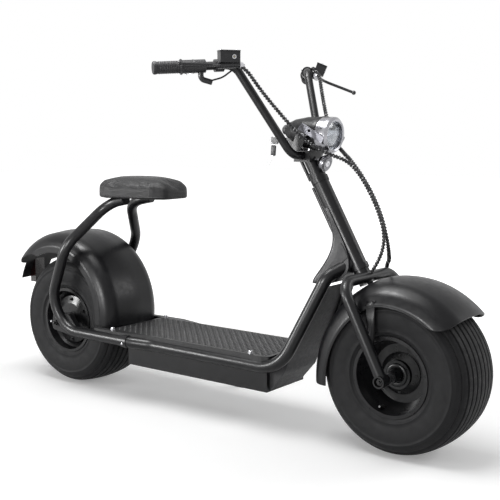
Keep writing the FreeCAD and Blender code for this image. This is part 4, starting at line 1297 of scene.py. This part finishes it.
def edge_section():
    """The section of the fender's edge, from the left skirt to the crown, as (y, depth)."""
    half = FENDER_HALF - EDGE_SINK
    side = [(half, -FENDER_SKIRT, 0), (half, -EDGE_SINK - FENDER_DROP - 52, 18),
            (half - 12, -EDGE_SINK - FENDER_DROP - 24, 50),
            (half - 40, -EDGE_SINK - FENDER_DROP / 2 - 8, 65), (0, -EDGE_SINK, 300)]
    whole = side + [(-y, depth, bend) for y, depth, bend in reversed(side[:-1])]
    return [(y, depth) for y, depth in rounded(whole) if y > -1e-6]


def rounded(points, steps=5):
    """An open run of (y, depth) points, each inner corner bent to its third number."""
    run = [points[0][:2]]
    for before, here, after in zip(points, points[1:], points[2:]):
        corner = Vector(here[:2])
        first = (Vector(before[:2]) - corner).normalized()
        last = (Vector(after[:2]) - corner).normalized()
        half = first.angle(last) / 2
        reach = here[2] / math.tan(half)
        centre = corner + (first + last).normalized() * here[2] / math.sin(half)
        start = corner + first * reach - centre
        end = corner + last * reach - centre
        for step in range(steps + 1):
            spoke = start.lerp(end, step / steps).normalized() * here[2]
            run.append(tuple(centre + spoke))
    run.append(points[-1][:2])
    return run


def fender_spot(angle, y, depth):
    """A point on the fender's sweep at an angle above forward, some way off its crown."""
    middle = Vector((FENDER_CENTRE[0], 0, FENDER_CENTRE[1]))
    radius = FENDER_ARCS[0][0]
    for before, (here, low, _) in zip(FENDER_ARCS, FENDER_ARCS[1:]):
        if angle > low:
            start = math.radians(low)
            middle += Vector((math.cos(start), 0, math.sin(start))) * (before[0] - here)
            radius = here
    turn = math.radians(angle)
    spot = middle + Vector((math.cos(turn), 0, math.sin(turn))) * (radius + depth)
    return at(spot.x, y, spot.z)


def degrees_along(length):
    """The turn, in degrees, that a length takes along the skirt at the fender's front."""
    return math.degrees(length / (FENDER_ARCS[0][0] - FENDER_SKIRT))


def corner_run(steps=8):
    """The rounded corner at the fender's front, as (angle, depth) from its end to its skirt."""
    run = []
    for step in range(steps + 1):
        turn = math.pi / 2 * (1 - step / steps)
        run.append((FENDER_ARCS[0][1] + degrees_along(FENDER_CORNER * (1 - math.sin(turn))),
                    FENDER_CORNER * (1 - math.cos(turn)) - FENDER_SKIRT))
    return run


def fender_edge():
    """The border of the front fender all the way round, in the middle of its wall."""
    section = edge_section()

    def width_at(depth):
        for (y, low), (inner, high) in zip(section, section[1:]):
            if low <= depth <= high and high > low:
                return y + (inner - y) * (depth - low) / (high - low)
        return section[0][0]

    first = FENDER_ARCS[0][1]
    last = FENDER_ARCS[-1][2]
    corner = corner_run()
    run = [(first, y, depth) for y, depth in reversed(section) if depth > corner[0][1]]
    run += [(angle, width_at(depth), depth) for angle, depth in corner]
    start = corner[-1][0]
    steps = int((last - start) / 4)
    for step in range(1, steps + 1):
        run.append((start + (last - start) * step / steps, section[0][0], -FENDER_SKIRT))
    run += [(last, y, depth) for y, depth in section[1:]]
    left = [fender_spot(*spot) for spot in run]
    return left + [MIRROR @ point for point in reversed(left[1:-1])]


class MakeFenders(bpy.types.Operator):
    """Make the front fender with its rounded corners and rolled edge, and its screws"""
    bl_idname = "scooter.make_fenders"
    bl_label = "Make fenders"

    def execute(self, context):
        piece = shown("front_fender_shell", self.cut_shell(), "steer", "fender_paint")
        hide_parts("front_fender")
        bead = tube("front_fender_edge", fender_edge(), EDGE_R, cyclic=True, sides=2, kind="POLY")
        shown("front_fender_edge", bead, "steer", "fender_paint")
        rows = both_sides(FENDER_SCREWS, (0, -1, 0), 13.0)
        fixings("front_fender_screws", "steer", rows, "hex")
        return {"FINISHED"}

    def cut_shell(self):
        """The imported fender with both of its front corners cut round."""
        shell = placed("fender_work", merged_copy(frame["nodes"]["front_fender"].data, 1e-6))
        knife = placed("fender_knife", self.knife())
        cut = shell.modifiers.new("corners", "BOOLEAN")
        cut.operation = "DIFFERENCE"
        cut.solver = "EXACT"
        cut.object = knife
        mesh = real_mesh(shell)
        for piece in (shell, knife):
            bpy.data.objects.remove(piece)
        return mesh

    def knife(self):
        """The bar across the fender that takes its front corners off."""
        section = corner_run()
        before = FENDER_ARCS[0][1] - degrees_along(KNIFE_SPARE)
        below = -FENDER_SKIRT - KNIFE_SPARE
        section += [(section[-1][0], below), (before, below), (before, section[0][1])]
        bm = bmesh.new()
        ends = [[bm.verts.new(fender_spot(angle, side * KNIFE_HALF, depth))
                 for angle, depth in section] for side in SIDES]
        bm.faces.new(ends[0])
        bm.faces.new(list(reversed(ends[1])))
        for i in range(len(section)):
            bm.faces.new((ends[0][i - 1], ends[1][i - 1], ends[1][i], ends[0][i]))
        return closed(bm, "fender_knife")


# Fasteners on the frame

# Each pair or row: name, body, left-hand spots, facing, size, kind and finish.
FRAME_FIXINGS = [
    ("bar_clamp_bolts", "steer", [(936.0, 18.0, 841.2), (974.0, 18.0, 841.2)], (0, 0, 1), 10.0,
     "socket", "bare_steel"),
    ("sleeve_screws", "frame", [(338.0, 168.6, 201.0)], (0, 1, 0), 6.0, "socket", "bare_steel"),
    ("battery_box_screws", "frame", [(x, 98.0, 182.0) for x in (320.0, 430.0, 590.0, 750.0, 858.0)],
     (0, 1, 0), 7.0, "socket", "black_steel"),
    ("dropout_bolts", "frame", [(96.0, 128.8, 214.0), (20.0, 128.8, 246.0)], (0, -1, 0), 9.0,
     "hex", "black_steel"),
]
# Each caliper: its body, its axle's station and its turn round the axle.
CALIPERS = {"front": ("steer", WHEELBASE, 130.0), "rear": ("frame", 0.0, 40.0)}
CALIPER_BOLTS = ((48.0, 13.0), (48.0, -13.0), (76.0, 13.0), (76.0, -13.0))
CALIPER_FACE = 100.0


class MakeFasteners(bpy.types.Operator):
    """Make the bolts of the clamp, calipers, tube sleeves, battery box and axle plates"""
    bl_idname = "scooter.make_fasteners"
    bl_label = "Make fasteners"

    def execute(self, context):
        for name, body, spots, way, size, kind, finish_name in FRAME_FIXINGS:
            fixings(name, body, both_sides(spots, way, size), kind, finish_name)
        for end, (body, station, angle) in CALIPERS.items():
            turn = Matrix.Rotation(math.radians(-angle), 3, "Y")
            rows = []
            for x, z in CALIPER_BOLTS:
                spot = turn @ Vector((x, 0, z))
                rows.append((at(station + spot.x, CALIPER_FACE, AXLE_Z + spot.z), (0, 1, 0), 7.0))
            fixings(end + "_caliper_bolts", body, rows, "socket")
        return {"FINISHED"}


class FinishNodes(bpy.types.Operator):
    """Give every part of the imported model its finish"""
    bl_idname = "scooter.finish_nodes"
    bl_label = "Finish the frame"

    def execute(self, context):
        for part in frame["record"]["subparts"]:
            name = part["node"]
            slot = TYRE_FINISH["front"] if name == "front_tyre" else part["material_slot"]
            materials = frame["nodes"][name].data.materials
            materials.clear()
            materials.append(finishes()[slot])
        return {"FINISHED"}


# Stage

# Each light: name, place, target, size, setting, share of it, and whether it only reflects.
LIGHTS = [
    ("key_light", (-0.2, -0.6, 3.4), (0.1, 0.0, 0.4), 2.4, "key_power", 1.0, False),
    ("front_card", (0.0, -3.6, 0.9), (0.0, 0.0, 0.4), 0.9, "card_power", 1.0, True),
    ("side_light", (-2.6, -2.6, 1.1), (0.0, 0.0, 0.5), 1.2, "side_power", 0.3, False),
    ("side_card", (-2.5, -2.7, 1.0), (0.0, 0.0, 0.5), 1.0, "card_power", 1.0, True),
    ("top_card", (-0.8, -0.9, 3.3), (0.1, 0.0, 0.4), 1.1, "card_power", 1.0, True),
    ("rim_light", (2.9, 2.4, 2.0), (0.2, 0.0, 0.4), 1.6, "side_power", 0.5, False),
]
CAMERA_AT = (1.9106, -2.3322, 0.9054)
CAMERA_TURN = (math.radians(82.66), 0.0, math.radians(37.397))
CAMERA_LENS = 67.94
WORLD_LIGHT = 0.32


class MakeStage(bpy.types.Operator):
    """Make the floor, the lights and the camera"""
    bl_idname = "scooter.make_stage"
    bl_label = "Make stage"

    def execute(self, context):
        settings = context.scene.scooter_stage
        bm = bmesh.new()
        bmesh.ops.create_grid(bm, x_segments=2, y_segments=2, size=14.0)
        floor = placed("floor", closed(bm, "floor"))
        floor.data.materials.append(floor_paper("floor_paper", tuple(settings.floor)))
        self.world(context.scene)
        for name, where, target, size, setting, share, shine_only in LIGHTS:
            light = self.light(name, where, target, size, getattr(settings, setting) * share)
            light.visible_diffuse = not shine_only
        self.camera(context.scene)
        return {"FINISHED"}

    def world(self, scene):
        """White where it shows, and a dimmer white as light."""
        world = bpy.data.worlds.new("studio")
        scene.world = world
        world.use_nodes = True
        tree = world.node_tree
        strength = node(tree, "ShaderNodeMapRange", {"Value": seen_directly(tree),
                                                     "To Min": WORLD_LIGHT, "To Max": 1.0})
        background = tree.nodes["Background"]
        tree.links.new(strength.outputs[0], background.inputs["Strength"])
        background.inputs["Color"].default_value = (1, 1, 1, 1)

    def light(self, name, where, target, size, power):
        """A round area light turned to its target."""
        data = bpy.data.lights.new(name, "AREA")
        data.shape = "DISK"
        data.size = size
        data.energy = power
        light = placed(name, data)
        light.location = where
        way = Vector(target) - Vector(where)
        light.rotation_euler = way.to_track_quat("-Z", "Y").to_euler()
        return light

    def camera(self, scene):
        """The camera that the photo was solved for."""
        data = bpy.data.cameras.new("photo_camera")
        data.sensor_width = 36.0
        data.lens = CAMERA_LENS
        camera = placed("photo_camera", data)
        camera.location = CAMERA_AT
        camera.rotation_euler = CAMERA_TURN
        scene.camera = camera
        scene.view_settings.view_transform = "Standard"


OPERATORS = (FinishNodes, MakeTyres, MakeWheelTrim, MakeSeat, MakeDeck, MakeGrips, MakeControls,
             MakeHoses, MakeLamp, MakeKeys, MakeFenders, MakeFasteners, MakeStage)


class ScooterPanel(bpy.types.Panel):
    """The scooter's settings and the buttons that make its pieces"""
    bl_idname = "VIEW3D_PT_scooter"
    bl_label = "Scooter"
    bl_space_type = "VIEW_3D"
    bl_region_type = "UI"
    bl_category = "Scooter"

    def draw(self, context):
        for name, group in GROUPS.items():
            settings = getattr(context.scene, name)
            column = self.layout.column(align=True)
            for key in group.__annotations__:
                column.prop(settings, key)
        for operator in OPERATORS:
            self.layout.operator(operator.bl_idname)


def register():
    """Adds the settings, the operators and the panel to Blender."""
    for name, group in GROUPS.items():
        bpy.utils.register_class(group)
        setattr(bpy.types.Scene, name, bpy.props.PointerProperty(type=group))
    for operator in OPERATORS:
        bpy.utils.register_class(operator)
    bpy.utils.register_class(ScooterPanel)


def unregister():
    """Takes them out again."""
    bpy.utils.unregister_class(ScooterPanel)
    for operator in reversed(OPERATORS):
        bpy.utils.unregister_class(operator)
    for name, group in GROUPS.items():
        delattr(bpy.types.Scene, name)
        bpy.utils.unregister_class(group)


def main():
    """Makes every piece."""
    register()
    for operator in OPERATORS:
        group, call = operator.bl_idname.split(".")
        getattr(getattr(bpy.ops, group), call)()


if __name__ == "__main__":
    main()
